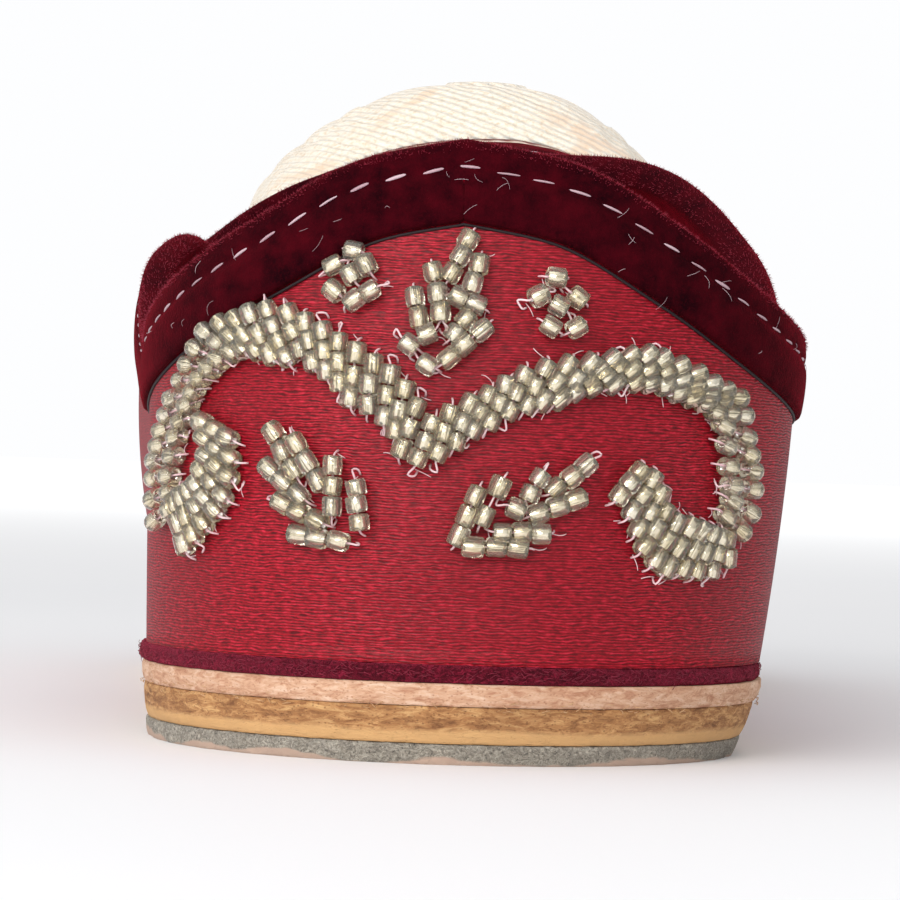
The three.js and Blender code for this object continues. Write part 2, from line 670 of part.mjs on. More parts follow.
// A leaf or floret: a lobed patch on the wall
function heelMotif({ around, up, wide, tall, lobes, depth }) {
  const sides = 12;
  const rings = wide > 0.015 ? [1, 0.5, 0] : [1, 0];
  const grid = Array.from({ length: sides + 1 }, (_, i) => {
    const turn = (2 * Math.PI * (i % sides)) / sides;
    const reach = 1 - depth * (1 - Math.cos(lobes * turn)) * 0.5;
    const at = (share) =>
      heelPoint(around + wide * Math.cos(turn) * reach * share, up + tall * Math.sin(turn) * reach * share);
    return rings.map(at);
  });
  return relief(joined(skin(grid, false)));
}

const jutti = new THREE.Group();
jutti.add(
  finished("heel_lift", heelLift(), COLOURS.split, 0.95),
  finished("outsole", outsole(), COLOURS.tan, 0.8),
  finished("midsole", midsole(), COLOURS.beige, 0.85),
  finished("rand", rand(), COLOURS.rand, 0.95),
  finished("insole", insole(), COLOURS.cream, 0.8),
  finished("upper", upper(), COLOURS.satin, 0.35),
  finished("collar_binding", binding(), COLOURS.velvet, 0.9),
  finished("vamp_embroidery", vampRelief(), COLOURS.cream, 0.6),
  finished("heel_scroll", heelScroll(), COLOURS.glass, 0.3),
  ...MOTIFS.map((motif) => finished(motif.name, heelMotif(motif), COLOURS.glass, 0.3)),
);
const box = new THREE.Box3().setFromObject(jutti);
const centre = box.getCenter(new THREE.Vector3());
for (const mesh of jutti.children) mesh.geometry.translate(-centre.x, -centre.y, -box.min.z);

export default jutti;
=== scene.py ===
import math
import random

import bmesh
import bpy
import numpy as np
from mathutils import Matrix, Vector


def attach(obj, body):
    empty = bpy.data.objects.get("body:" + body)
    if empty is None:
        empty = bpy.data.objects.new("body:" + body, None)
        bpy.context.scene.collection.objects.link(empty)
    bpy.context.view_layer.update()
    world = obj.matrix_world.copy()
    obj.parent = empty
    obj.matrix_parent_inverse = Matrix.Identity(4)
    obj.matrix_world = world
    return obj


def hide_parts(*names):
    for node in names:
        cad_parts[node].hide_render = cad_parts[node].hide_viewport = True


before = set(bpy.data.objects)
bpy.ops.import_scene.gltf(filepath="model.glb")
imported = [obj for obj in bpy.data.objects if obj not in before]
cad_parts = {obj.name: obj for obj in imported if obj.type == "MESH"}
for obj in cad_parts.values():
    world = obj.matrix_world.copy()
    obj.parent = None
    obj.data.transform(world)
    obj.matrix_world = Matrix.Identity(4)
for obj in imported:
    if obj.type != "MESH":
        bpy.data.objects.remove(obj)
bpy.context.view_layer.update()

# Sizes of the last, in millimetres, as the part has them
MM = 0.001
SHIFT = np.array([0.318, 122.0013, 0.0])
LENGTH = 246.0
BALL_WIDTH = 80.0
HEEL_HEIGHT = 62.0
INSTEP_HEIGHT = 79.5
HEEL_LIFT = 1.8
OUTSOLE = 3.7
MIDSOLE = 1.9
RAND = 1.4
GAP = 0.3
UPPER_WALL = 2.2
INSOLE = 2.6
SOLE_MARGIN = 0.3
STACK_TAPER = {"lateral": 0.9, "medial": 2.9}
RAND_REACH = {"lateral": 0.45, "medial": -0.15}
INSOLE_CLEARANCE = 0.7
LIFT_LENGTH = 61.0
TREAD_FROM = 104.0
TOE_SPRING_FROM = 186.0
TOE_SPRING = 8.5
THROAT = 128.0
THROAT_ROUND = 30.0
BAND_WIDTH = 7.8
BAND_INSIDE = 7.0
BINDING = 0.8
HEEL_ROUND = (37.0, 2.15)
TOE_ROUND = (62.0, 2.15)
TOE_PROFILE = (30.0, 2.1)
TOE_TIP = 0.3
SWELL_TOP = 0.45
BACK_BULGE = 1.6
BACK_LEAN = 3.4
BACK_REACH = 62.0
MEDALLION_HEIGHT = 2.0
MEDALLION_HALF = 37.0
MEDALLION_FRONT = 212.0
MEDALLION_MARGIN = 1.6

# Plan outline: place along, lateral and medial half-width, as shares of the ball width
OUTLINE = (
    (0.0, 0.4, 0.41),
    (0.14, 0.408, 0.418),
    (0.28, 0.405, 0.385),
    (0.42, 0.42, 0.345),
    (0.55, 0.465, 0.405),
    (0.66, 0.495, 0.475),
    (0.74, 0.49, 0.505),
    (0.84, 0.435, 0.49),
    (0.93, 0.36, 0.44),
    (1.0, 0.3, 0.39),
)

# Sections: place along, lateral and medial swell, ridge height, lean, shoulder and side powers
SECTIONS = (
    (0.0, 0.02, 0.09, 1.54, 0.02, 4.0, 2.6),
    (0.15, 0.025, 0.11, 1.5, 0.02, 4.0, 2.6),
    (0.26, 0.11, 0.16, 1.2, 0.03, 4.8, 2.6),
    (0.34, 0.16, 0.24, 0.96, 0.05, 5.0, 2.6),
    (0.42, 0.13, 0.25, 0.885, 0.09, 4.8, 2.6),
    (0.51, 0.05, 0.16, 0.855, 0.08, 4.0, 2.5),
    (0.55, 0.04, 0.11, 0.882, 0.06, 3.2, 2.35),
    (0.59, 0.03, 0.07, 0.955, 0.045, 2.7, 2.2),
    (0.63, 0.03, 0.05, 0.995, 0.035, 2.5, 2.15),
    (0.67, 0.02, 0.04, 0.985, 0.03, 2.4, 2.1),
    (0.76, 0.02, 0.03, 0.81, 0.035, 2.4, 2.1),
    (0.86, 0.02, 0.02, 0.59, 0.045, 2.3, 2.1),
    (0.94, 0.02, 0.02, 0.46, 0.055, 2.3, 2.1),
    (1.0, 0.02, 0.02, 0.39, 0.055, 2.3, 2.1),
)

# Collar: share of the way round to the toe, lateral and medial height as shares of the heel height
COLLAR = (
    (0.0, 1.0, 1.0),
    (0.055, 0.957, 0.96),
    (0.11, 0.87, 0.868),
    (0.165, 0.795, 0.78),
    (0.22, 0.728, 0.722),
    (0.27, 0.685, 0.7),
    (0.32, 0.705, 0.73),
    (0.36, 0.77, 0.8),
    (0.4, 0.86, 0.91),
    (0.44, 0.9, 1.035),
    (0.47, 0.82, 1.08),
    (0.52, 0.69, 1.09),
)

SIGN = {"lateral": -1.0, "medial": 1.0}
SIDES = ("lateral", "medial")
ARCH_STEPS = 120
random.seed(7)


# Shape of the last

def through(rows, column):
    """Smooth curve through one column of a table."""
    table = np.array(rows, float)
    xs, ys = table[:, 0], table[:, column]
    after = np.minimum(np.arange(len(xs)) + 1, len(xs) - 1)
    before = np.maximum(np.arange(len(xs)) - 1, 0)
    slope = (ys[after] - ys[before]) / (xs[after] - xs[before])

    def curve(x):
        held = np.clip(x, xs[0], xs[-1])
        i = np.clip(np.searchsorted(xs, held) - 1, 0, len(xs) - 2)
        span = xs[i + 1] - xs[i]
        t = (held - xs[i]) / span
        smooth_part = ys[i] * (2 * t**3 - 3 * t**2 + 1) + ys[i + 1] * (3 * t**2 - 2 * t**3)
        return smooth_part + span * (slope[i] * (t**3 - 2 * t**2 + t) + slope[i + 1] * (t**3 - t**2))

    return curve


outline = {side: through(OUTLINE, 1 + i) for i, side in enumerate(SIDES)}
swell = {side: through(SECTIONS, 1 + i) for i, side in enumerate(SIDES)}
ridge, lean, shoulder, side_power = (through(SECTIONS, column) for column in (3, 4, 5, 6))
collar = {side: through(COLLAR, 1 + i) for i, side in enumerate(SIDES)}


def clamp01(x):
    return np.clip(x, 0.0, 1.0)


def smooth(start, end, x):
    t = clamp01((x - start) / (end - start))
    return t * t * (3 - 2 * t)


def rounding(distance, reach_power):
    reach, power = reach_power
    return np.maximum(1 - clamp01(1 - distance / reach) ** power, 0.0) ** (1 / power)


def along_of(around):
    return LENGTH * (1 - np.cos(np.pi * around)) / 2


def around_of(y):
    return np.arccos(1 - 2 * clamp01(y / LENGTH)) / np.pi


def foot_half(y, side):
    return BALL_WIDTH * outline[side](y / LENGTH) * rounding(y, HEEL_ROUND) * rounding(LENGTH - y, TOE_ROUND)


def bottom_of(y):
    raised = (HEEL_LIFT + GAP) * (1 - smooth(LIFT_LENGTH, TREAD_FROM, y))
    return raised + TOE_SPRING * np.maximum((y - TOE_SPRING_FROM) / (LENGTH - TOE_SPRING_FROM), 0) ** 2


def foot_of(y):
    return bottom_of(y) + OUTSOLE + MIDSOLE + RAND + 3 * GAP


def ridge_x(y):
    return BALL_WIDTH * lean(y / LENGTH) * rounding(y, HEEL_ROUND) * rounding(LENGTH - y, TOE_ROUND)


def ridge_z(y):
    toe = TOE_TIP + (1 - TOE_TIP) * rounding(LENGTH - y, TOE_PROFILE)
    return foot_of(y) + (INSTEP_HEIGHT - foot_of(THROAT)) * ridge(y / LENGTH) * toe


def back_shift(y, z):
    up = (z - foot_of(y)) / (HEEL_HEIGHT - foot_of(y))
    return clamp01(1 - y / BACK_REACH) ** 2 * (BACK_LEAN * up * up - BACK_BULGE * np.sin(np.pi * clamp01(up)))


def section(y, side):
    """One side of the section at a place along: x, z and run from the foot to the ridge."""
    foot = foot_half(y, side)
    widest = foot * (1 + swell[side](y / LENGTH))
    top, centre, bottom = ridge_z(y), ridge_x(y), foot_of(y)
    power = shoulder(y / LENGTH)
    turn = np.linspace(0, np.pi / 2, ARCH_STEPS + 1)
    up = np.sin(turn) ** (2 / power + 0.55 * np.cos(turn))
    inward = np.maximum(1 - up**power, 0) ** (1 / side_power(y / LENGTH))
    tuck = SIGN[side] * (widest - foot) * np.maximum(0, 1 - up / SWELL_TOP) ** 2
    x = centre + (SIGN[side] * widest - centre) * inward - tuck
    z = bottom + (top - bottom) * up
    run = np.concatenate([[0], np.cumsum(np.hypot(np.diff(x), np.diff(z)))])
    return x, z, run


def unit(v):
    return v / np.maximum(np.linalg.norm(v, axis=-1, keepdims=True), 1e-12)


TABLE_AROUND = np.linspace(0, 1, 901)
TABLE_SHARE = np.linspace(0, 1, 281)


def tabulate(side):
    """Points, normals, full runs and wall runs over one side of the last."""
    points, full, wall = [], [], []
    for around in TABLE_AROUND:
        y = along_of(around)
        x, z, run = section(y, side)
        at = TABLE_SHARE * run[-1]
        px, pz = np.interp(at, run, x), np.interp(at, run, z)
        points.append(np.stack([px, y + back_shift(y, pz), pz], axis=-1))
        full.append(run[-1])
        wall.append(np.interp(HEEL_HEIGHT * collar[side](around), z, run))
    points = np.array(points)
    ahead = np.gradient(points, axis=0)
    ahead[0] = (SIGN[side], 0, 0)
    normals = unit(np.cross(ahead, np.gradient(points, axis=1))) * SIGN[side]
    return points, normals, np.array(full), np.array(wall)


TABLES = {side: tabulate(side) for side in SIDES}


def read_table(values, around, share):
    """A table's value between its stations and shares."""
    i = clamp01(around) * (len(TABLE_AROUND) - 1)
    j = clamp01(share) * (len(TABLE_SHARE) - 1)
    i, j = np.broadcast_arrays(i, j)
    i0 = np.minimum(i.astype(int), len(TABLE_AROUND) - 2)
    j0 = np.minimum(j.astype(int), len(TABLE_SHARE) - 2)
    f, g = (i - i0)[..., None], (j - j0)[..., None]
    low = values[i0, j0] * (1 - g) + values[i0, j0 + 1] * g
    high = values[i0 + 1, j0] * (1 - g) + values[i0 + 1, j0 + 1] * g
    return low * (1 - f) + high * f


def full_run(around, side):
    return np.interp(around, TABLE_AROUND, TABLES[side][2])


def collar_run(around, side):
    """How far up its section the collar edge lies: along the walls, then closing round the throat."""
    y = along_of(around)
    full = full_run(around, side)
    wall = np.interp(around, TABLE_AROUND, TABLES[side][3])
    forward = clamp01(1 - (THROAT - y) / THROAT_ROUND)
    return full - (full - wall) * np.sqrt(1 - forward**2)


def place(around, run, side):
    """Points of the upper's outside."""
    return read_table(TABLES[side][0], around, run / full_run(around, side))


def normals_at(around, run, side):
    return unit(read_table(TABLES[side][1], around, run / full_run(around, side)))


def dot(a, b):
    return (a * b).sum(axis=-1)


def walk(around, run, side, direction, distance):
    """A short walk over the outside in a direction, held to the surface."""
    leg = distance / 4
    a, r = around, run
    for _ in range(4):
        here = place(a, r, side)
        ahead = (place(a + 1e-3, r, side) - here) * 1e3
        up = here - place(a, r - 1, side)
        aa, bb, ab = dot(ahead, ahead), dot(up, up), dot(ahead, up)
        da, db = dot(ahead, direction) * leg, dot(up, direction) * leg
        a, r = a + (da * bb - db * ab) / (aa * bb - ab * ab), r + (db * aa - da * ab) / (aa * bb - ab * ab)
        a = np.maximum(a, 0)
        r = np.minimum(r, full_run(a, side))
    return a, r


def beside_collar(around, side, inset):
    """Places on the outside let down from the collar edge by an inset."""
    throat = around_of(THROAT)
    around = np.asarray(around, float)
    ends = [np.clip(around + step, 0, throat) for step in (-1e-3, 1e-3)]
    tangent = place(ends[1], collar_run(ends[1], side), side) - place(ends[0], collar_run(ends[0], side), side)
    tangent[around < 1e-3] = (SIGN[side], 0, 0)
    tangent[around > throat - 1e-3] = (-SIGN[side], 0, 0)
    run = collar_run(around, side)
    down = np.cross(normals_at(around, run, side), unit(tangent)) * -SIGN[side]
    return walk(around, run, side, down, inset)


def collar_stations(count, closing):
    """Stations round the heel, then closing on the throat."""
    start = around_of(THROAT - THROAT_ROUND)
    forward = np.sin(np.linspace(0, np.pi / 2, closing + 1))
    heel = np.linspace(0, start, count, endpoint=False)
    return np.concatenate([heel, around_of(THROAT - THROAT_ROUND * (1 - forward))])


# Meshes and materials

def raw_mesh(name, points, faces, uvs=None):
    """A mesh from points in millimetres, with a lay for its material if one is given."""
    mesh = bpy.data.meshes.new(name)
    mesh.from_pydata((np.asarray(points, float) * MM).tolist(), [], [list(map(int, face)) for face in faces])
    if uvs is not None:
        layer = mesh.uv_layers.new(name="lay")
        corners = np.array([loop.vertex_index for loop in mesh.loops])
        layer.data.foreach_set("uv", np.asarray(uvs, float)[corners].ravel())
    return mesh


def mesh_piece(name, points, faces, material, node_names=(), uvs=None, weld=0.0, slots=None):
    """A piece from points in the last's millimetres, riding on the part's one body."""
    mesh = raw_mesh(name, np.asarray(points, float) - SHIFT, faces, uvs)
    if slots is not None:
        mesh.polygons.foreach_set("material_index", slots)
    if weld:
        work = bmesh.new()
        work.from_mesh(mesh)
        bmesh.ops.remove_doubles(work, verts=work.verts, dist=weld)
        work.to_mesh(mesh)
        work.free()
    mesh.polygons.foreach_set("use_smooth", [True] * len(mesh.polygons))
    for one in material if isinstance(material, (list, tuple)) else [material]:
        mesh.materials.append(one)
    return enlist(name, mesh, node_names)


def enlist(name, mesh, node_names=()):
    """A finished mesh becomes a piece that rides on the part's one body."""
    piece = bpy.data.objects.new(name, mesh)
    bpy.context.scene.collection.objects.link(piece)
    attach(piece, "root")
    if node_names:
        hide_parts(*node_names)
    return piece


def grid_faces(rows, columns, start=0, turned=False, closed=False):
    """Quads over a grid of points numbered row by row."""
    faces = []
    for i in range(rows - 1):
        for j in range(columns if closed else columns - 1):
            a, b = start + i * columns + j, start + i * columns + (j + 1) % columns
            c, d = a + columns, b + columns
            faces.append((a, b, d, c) if turned else (a, c, d, b))
    return faces


def capped_grid(rows, columns, turned=False):
    """Quads over a run of closed rings, with both end rings capped the same way out."""
    first, last = tuple(range(columns)), tuple(range((rows - 1) * columns, rows * columns))
    caps = [first[::-1], last] if turned else [first, last[::-1]]
    return grid_faces(rows, columns, closed=True, turned=turned) + caps


def wrap_faces(last, first, width, turned=False):
    """Faces that join the last loop of a shape to its first."""
    faces = []
    for j in range(width):
        a, b = last + j, last + (j + 1) % width
        c, d = first + j, first + (j + 1) % width
        faces.append((a, b, d, c) if turned else (a, c, d, b))
    return faces


def length_along(path):
    """How far along a path each of its points lies."""
    return np.concatenate([[0], np.cumsum(np.linalg.norm(np.diff(path, axis=0), axis=1))])


def at_length(path, length, at):
    """Values between the points of a path, at given lengths along it."""
    return np.stack([np.interp(at, length, path[:, k]) for k in range(path.shape[1])], axis=-1)


class Shader:
    """A short way to write a node tree."""

    def __init__(self, name):
        self.material = bpy.data.materials.new(name)
        self.material.use_nodes = True
        self.tree = self.material.node_tree
        self.tree.nodes.clear()
        self.out = self.add("ShaderNodeOutputMaterial")
        self.coords = self.add("ShaderNodeTexCoord")

    def add(self, kind, inputs=None, **settings):
        node = self.tree.nodes.new(kind)
        for key, value in settings.items():
            setattr(node, key, value)
        for key, value in (inputs or {}).items():
            self.feed(node.inputs[key], value)
        return node

    def feed(self, socket, value):
        if isinstance(value, bpy.types.NodeSocket):
            self.tree.links.new(value, socket)
        else:
            socket.default_value = value

    def mapped(self, vector, scale, turn=(0, 0, 0)):
        return self.add("ShaderNodeMapping", {"Vector": vector, "Scale": scale, "Rotation": turn}).outputs["Vector"]

    def at(self, scale=(1, 1, 1), turn=(0, 0, 0)):
        """The object's own coordinates, stretched and turned."""
        return self.mapped(self.coords.outputs["Object"], scale, turn)

    def tone(self):
        """The random tone kept on each strand, bead or fibre."""
        return self.add("ShaderNodeAttribute", attribute_name="tone").outputs["Fac"]

    def noise(self, vector, scale, detail=4.0, rough=0.55, distort=0.0):
        inputs = {"Vector": vector, "Scale": scale, "Detail": detail, "Roughness": rough, "Distortion": distort}
        return self.add("ShaderNodeTexNoise", inputs).outputs["Fac"]

    def voronoi(self, vector, scale):
        return self.add("ShaderNodeTexVoronoi", {"Vector": vector, "Scale": scale}).outputs["Distance"]

    def wave(self, vector, scale, distort=0.0, detail=2.0, direction="X"):
        inputs = {"Vector": vector, "Scale": scale, "Distortion": distort, "Detail": detail}
        return self.add("ShaderNodeTexWave", inputs, bands_direction=direction).outputs["Fac"]

    def ramp(self, factor, *stops):
        node = self.add("ShaderNodeValToRGB", {"Fac": factor})
        while len(node.color_ramp.elements) < len(stops):
            node.color_ramp.elements.new(0.5)
        for element, (position, colour) in zip(node.color_ramp.elements, stops):
            element.position = position
            element.color = colour if isinstance(colour, tuple) else (colour, colour, colour, 1)
        return node.outputs["Color"]

    def mix(self, factor, a, b):
        node = self.add("ShaderNodeMix", {0: factor}, data_type="RGBA")
        self.feed(node.inputs[6], a)
        self.feed(node.inputs[7], b)
        return node.outputs[2]

    def math(self, operation, a, b=0.0):
        node = self.add("ShaderNodeMath", operation=operation)
        self.feed(node.inputs[0], a)
        self.feed(node.inputs[1], b)
        return node.outputs[0]

    def weighed(self, a, share_a, b, share_b):
        """The sum of two values, each times its share."""
        return self.math("ADD", self.math("MULTIPLY", a, share_a), self.math("MULTIPLY", b, share_b))

    def level(self):
        """Height over the ground, in metres."""
        return self.add("ShaderNodeSeparateXYZ", {"Vector": self.at()}).outputs["Z"]

    def bump(self, height, distance, strength=1.0):
        inputs = {"Height": height, "Distance": distance, "Strength": strength}
        return self.add("ShaderNodeBump", inputs).outputs["Normal"]

    def surface(self, inputs):
        shader = self.add("ShaderNodeBsdfPrincipled", inputs)
        self.tree.links.new(shader.outputs[0], self.out.inputs["Surface"])
        return self.material


def rgb(r, g, b):
    """A colour given as it looks on screen."""
    return tuple((c / 255 / 12.92 if c <= 10 else ((c / 255 + 0.055) / 1.055) ** 2.4) for c in (r, g, b)) + (1.0,)


# Upper: satin outside, cloth lining inside, one closed wall

UPPER_STATIONS = (80, 22, 70)
UPPER_ROWS = 56
ROW_CROWDING = 0.85
TOE_SWELL = 0.15
TOE_WALL = UPPER_WALL * 0.8

# Soft troughs in the satin: share round (minus lateral), share up, half-lengths round and up, depth in millimetres
TROUGHS = (
    (-0.115, 0.62, 0.05, 0.03, 0.22),
    (0.075, 0.6, 0.06, 0.035, 0.18),
    (-0.03, 0.33, 0.03, 0.08, 0.15),
    (0.125, 0.33, 0.02, 0.12, 0.2),
    (-0.15, 0.34, 0.02, 0.12, 0.16),
    (0.09, 0.1, 0.08, 0.02, 0.14),
    (-0.05, 0.09, 0.08, 0.02, 0.12),
    (0.3, 0.3, 0.035, 0.25, 0.5),
    (-0.31, 0.28, 0.035, 0.25, 0.5),
    (0.62, 0.35, 0.012, 0.3, 0.45),
    (0.655, 0.3, 0.012, 0.25, 0.35),
    (-0.6, 0.35, 0.012, 0.3, 0.45),
    (-0.635, 0.3, 0.012, 0.25, 0.35),
)


def trough_depth(around, run, side):
    depth = np.zeros(np.broadcast(around, run).shape)
    for centre, up, wide, tall, deep in TROUGHS:
        apart = (SIGN[side] * around - centre) / wide
        depth += deep * np.exp(-(apart**2)) * np.exp(-(((run / HEEL_HEIGHT) - up) / tall) ** 2)
    return depth


def skin_point(around, run, side, offset=0.0):
    """Points over the satin, troughs included, with their normals."""
    normal = normals_at(around, run, side)
    lift = np.asarray(offset - trough_depth(around, run, side))[..., None]
    return place(around, run, side) + normal * lift, normal


def foot_arc(around):
    """How far round the foot line a station lies, in millimetres."""
    return np.interp(around, TABLE_AROUND, ARC_LENGTH)


FOOT_LINE = TABLES["medial"][0][:, 0]
ARC_LENGTH = length_along(FOOT_LINE)


def make_upper(satin, lining):
    first, closing, vamp = UPPER_STATIONS
    stations = np.concatenate([collar_stations(first, closing), np.linspace(around_of(THROAT), 1, vamp + 1)[1:]])
    share = np.linspace(0, 1, UPPER_ROWS + 1) ** ROW_CROWDING
    rows, columns = len(stations), len(share)
    closed_rows = np.searchsorted(stations, around_of(THROAT) - 1e-9)
    points, uvs, faces, slots = [], [], [], []
    for side in SIDES:
        start, turned, count = len(points), side == "lateral", rows * columns
        runs = collar_run(stations, side)[:, None] * share
        outer, normal = skin_point(stations[:, None], runs, side)
        outer[..., 1] = np.minimum(outer[..., 1], LENGTH + TOE_SWELL)
        inner = outer - normal * UPPER_WALL
        inner[..., 1] = np.minimum(inner[..., 1], LENGTH - TOE_WALL)
        inner[..., 2] = np.maximum(inner[..., 2], foot_of(inner[..., 1]))
        lay = np.stack(np.broadcast_arrays(SIGN[side] * foot_arc(stations)[:, None] * MM, runs * MM), axis=-1)
        points += list(outer.reshape(-1, 3)) + list(inner.reshape(-1, 3))
        uvs += list(lay.reshape(-1, 2)) * 2
        outer_faces = grid_faces(rows, columns, start, turned)
        inner_faces = grid_faces(rows, columns, start + count, not turned)
        rims = []
        for i in range(rows - 1):
            for j in (0, columns - 1):
                a, b = start + i * columns + j, start + (i + 1) * columns + j
                rim = (a, b, b + count, a + count)
                if j == 0 or i < closed_rows:
                    rims.append(rim[::-1] if (j == 0) == turned else rim)
        faces += outer_faces + inner_faces + rims
        slots += [0] * len(outer_faces) + [1] * (len(inner_faces) + len(rims))
    return mesh_piece("satin_upper", points, faces, [satin, lining], ["upper"], uvs, weld=3e-6, slots=slots)


# Binding: velvet folded over the collar edge

def on_skin(place_at, side, offset):
    around, run = place_at
    normal = normals_at(around, run, side)
    return place(around, run, side) + normal * offset, normal


def collar_line(inset, offset, count=170, closing=60):
    """Points and normals once round the opening, let down from its edge and off the satin."""
    stations = collar_stations(count, closing)
    lateral, medial = (on_skin(beside_collar(stations, side, inset), side, offset) for side in SIDES)
    return [np.concatenate([lateral[k][::-1], medial[k][1:-1]]) for k in range(2)]


STITCH_INSET = 2.1
RIM_CROWN = 0.35
WIDTH_COLUMN = 60
BAND_LIFT, BAND_SWELL = 0.78, 0.3
STITCH_DENT, DENT_HALF = 0.3, 0.55
EDGE_DROP, EDGE_WIDTH = 0.5, 0.6


def band_offset(inset):
    """How far the velvet's outer face stands off the satin at an inset from the edge."""
    swollen = BAND_LIFT + BAND_SWELL * math.sin(math.pi * min(inset / BAND_WIDTH, 1.0))
    stitched = STITCH_DENT * math.exp(-(((inset - STITCH_INSET) / DENT_HALF) ** 2))
    edge = EDGE_DROP * max(0.0, (inset - BAND_WIDTH + EDGE_WIDTH) / EDGE_WIDTH) ** 2
    return swollen - stitched - edge


def over_rim(edge, normal, up, turn):
    """The velvet's outside where it folds over the collar edge, from 0 outside to pi inside."""
    rise = band_offset(0)
    across = -UPPER_WALL / 2 + math.cos(turn) * (UPPER_WALL / 2 + rise)
    return edge + normal * across + up * math.sin(turn) * (rise + RIM_CROWN)


def make_binding(velvet):
    outer = np.linspace(BAND_WIDTH, 0, 22)
    inner = np.linspace(0, BAND_INSIDE, 8)
    edge, normal = collar_line(0.0, 0.0)
    up = unit(edge - collar_line(1.0, 0.0)[0])
    loops = [collar_line(inset, band_offset(inset))[0] for inset in outer]
    loops += [over_rim(edge, normal, up, turn) for turn in np.linspace(0, math.pi, 10)[1:-1]]
    loops += [collar_line(inset, -UPPER_WALL - BINDING + 0.5 * (inset > BAND_INSIDE - 0.5))[0] for inset in inner]
    loops += [collar_line(inset, -UPPER_WALL - 0.05)[0] for inset in inner[::-1]]
    loops += [collar_line(inset, 0.05)[0] for inset in outer[::-4]]
    loops = np.array(loops)
    columns, count = loops.shape[:2]
    across, along = length_along(loops[:, WIDTH_COLUMN]), length_along(edge)
    uvs = np.stack(np.broadcast_arrays(along[None, :], across[:, None]), axis=-1).reshape(-1, 2) * MM
    faces = grid_faces(columns, count, closed=True, turned=True) + wrap_faces((columns - 1) * count, 0, count, True)
    return mesh_piece("velvet_binding", loops.reshape(-1, 3), faces, velvet, ["collar_binding"], uvs)


def tube(path, radii, sides, normals=None):
    """A closed tube along points: its points and faces, ends capped."""
    path = np.asarray(path, float)
    radii = np.broadcast_to(radii, len(path))
    tangent = unit(np.gradient(path, axis=0))
    guide = np.array(normals, float) if normals is not None else np.tile([0.3, 0.2, 1.0], (len(path), 1))
    first = unit(np.cross(tangent, guide))
    second = np.cross(first, tangent)
    turn = np.arange(sides) * 2 * np.pi / sides
    ring = first[:, None] * np.cos(turn)[None, :, None] + second[:, None] * np.sin(turn)[None, :, None]
    points = (path[:, None] + ring * radii[:, None, None]).reshape(-1, 3)
    return points, capped_grid(len(path), sides)


class Heap:
    """Many small shapes gathered into one mesh."""

    def __init__(self):
        self.points, self.faces, self.tones = [], [], []

    def put(self, points, faces, tone=0.5):
        start = sum(len(block) for block in self.points)
        self.points.append(np.asarray(points, float))
        self.faces += [tuple(start + i for i in face) for face in faces]
        self.tones += [tone] * len(points)

    def piece(self, name, material):
        made = mesh_piece(name, np.concatenate(self.points), self.faces, material)
        tone = made.data.attributes.new("tone", "FLOAT", "POINT")
        tone.data.foreach_set("value", self.tones)
        return made


# Copies of one small shape on points, by Geometry Nodes

def stored(tree, name):
    """A node that reads a vector kept on the points."""
    node = tree.nodes.new("GeometryNodeInputNamedAttribute")
    node.data_type = "FLOAT_VECTOR"
    node.inputs["Name"].default_value = name
    return node.outputs["Attribute"]


def scatter_tree():
    """A tree that sets a shape on each point by its turn and reach, with a random tone; and its inputs."""
    tree = bpy.data.node_groups.new("scatter", "GeometryNodeTree")
    ports = {}
    for label, kind in (("Points", "Geometry"), ("Shape", "Object"), ("Size", "Float"), ("Seed", "Int"),
                        ("Material", "Material")):
        ports[label] = tree.interface.new_socket(label, in_out="INPUT", socket_type="NodeSocket" + kind).identifier
    tree.interface.new_socket("Mesh", in_out="OUTPUT", socket_type="NodeSocketGeometry")
    entry, leave = tree.nodes.new("NodeGroupInput"), tree.nodes.new("NodeGroupOutput")
    shape, copies = tree.nodes.new("GeometryNodeObjectInfo"), tree.nodes.new("GeometryNodeInstanceOnPoints")
    turn, sized = tree.nodes.new("FunctionNodeEulerToRotation"), tree.nodes.new("ShaderNodeVectorMath")
    tone, keep = tree.nodes.new("FunctionNodeRandomValue"), tree.nodes.new("GeometryNodeStoreNamedAttribute")
    solid, coat = tree.nodes.new("GeometryNodeRealizeInstances"), tree.nodes.new("GeometryNodeSetMaterial")
    sized.operation = "SCALE"
    keep.data_type, keep.domain = "FLOAT", "INSTANCE"
    keep.inputs["Name"].default_value = "tone"
    drawn = next(port for port in tone.outputs if port.enabled)
    for start, end in (
        (entry.outputs["Shape"], shape.inputs["Object"]), (entry.outputs["Points"], copies.inputs["Points"]),
        (shape.outputs["Geometry"], copies.inputs["Instance"]), (stored(tree, "turn"), turn.inputs[0]),
        (turn.outputs[0], copies.inputs["Rotation"]), (stored(tree, "reach"), sized.inputs[0]),
        (entry.outputs["Size"], sized.inputs["Scale"]), (sized.outputs["Vector"], copies.inputs["Scale"]),
        (entry.outputs["Seed"], tone.inputs["Seed"]), (copies.outputs["Instances"], keep.inputs["Geometry"]),
        (drawn, keep.inputs["Value"]), (keep.outputs["Geometry"], solid.inputs["Geometry"]),
        (solid.outputs["Geometry"], coat.inputs["Geometry"]), (entry.outputs["Material"], coat.inputs["Material"]),
        (coat.outputs["Geometry"], leave.inputs["Mesh"]),
    ):
        tree.links.new(start, end)
    return tree, ports


def copy_shape(name, shape, uvs=None, smooth_shading=True):
    """The one small shape that is copied, in millimetres round its own origin."""
    mesh = raw_mesh(name + "_shape", *shape, uvs)
    mesh.polygons.foreach_set("use_smooth", [smooth_shading] * len(mesh.polygons))
    return bpy.data.objects.new(name + "_shape", mesh)


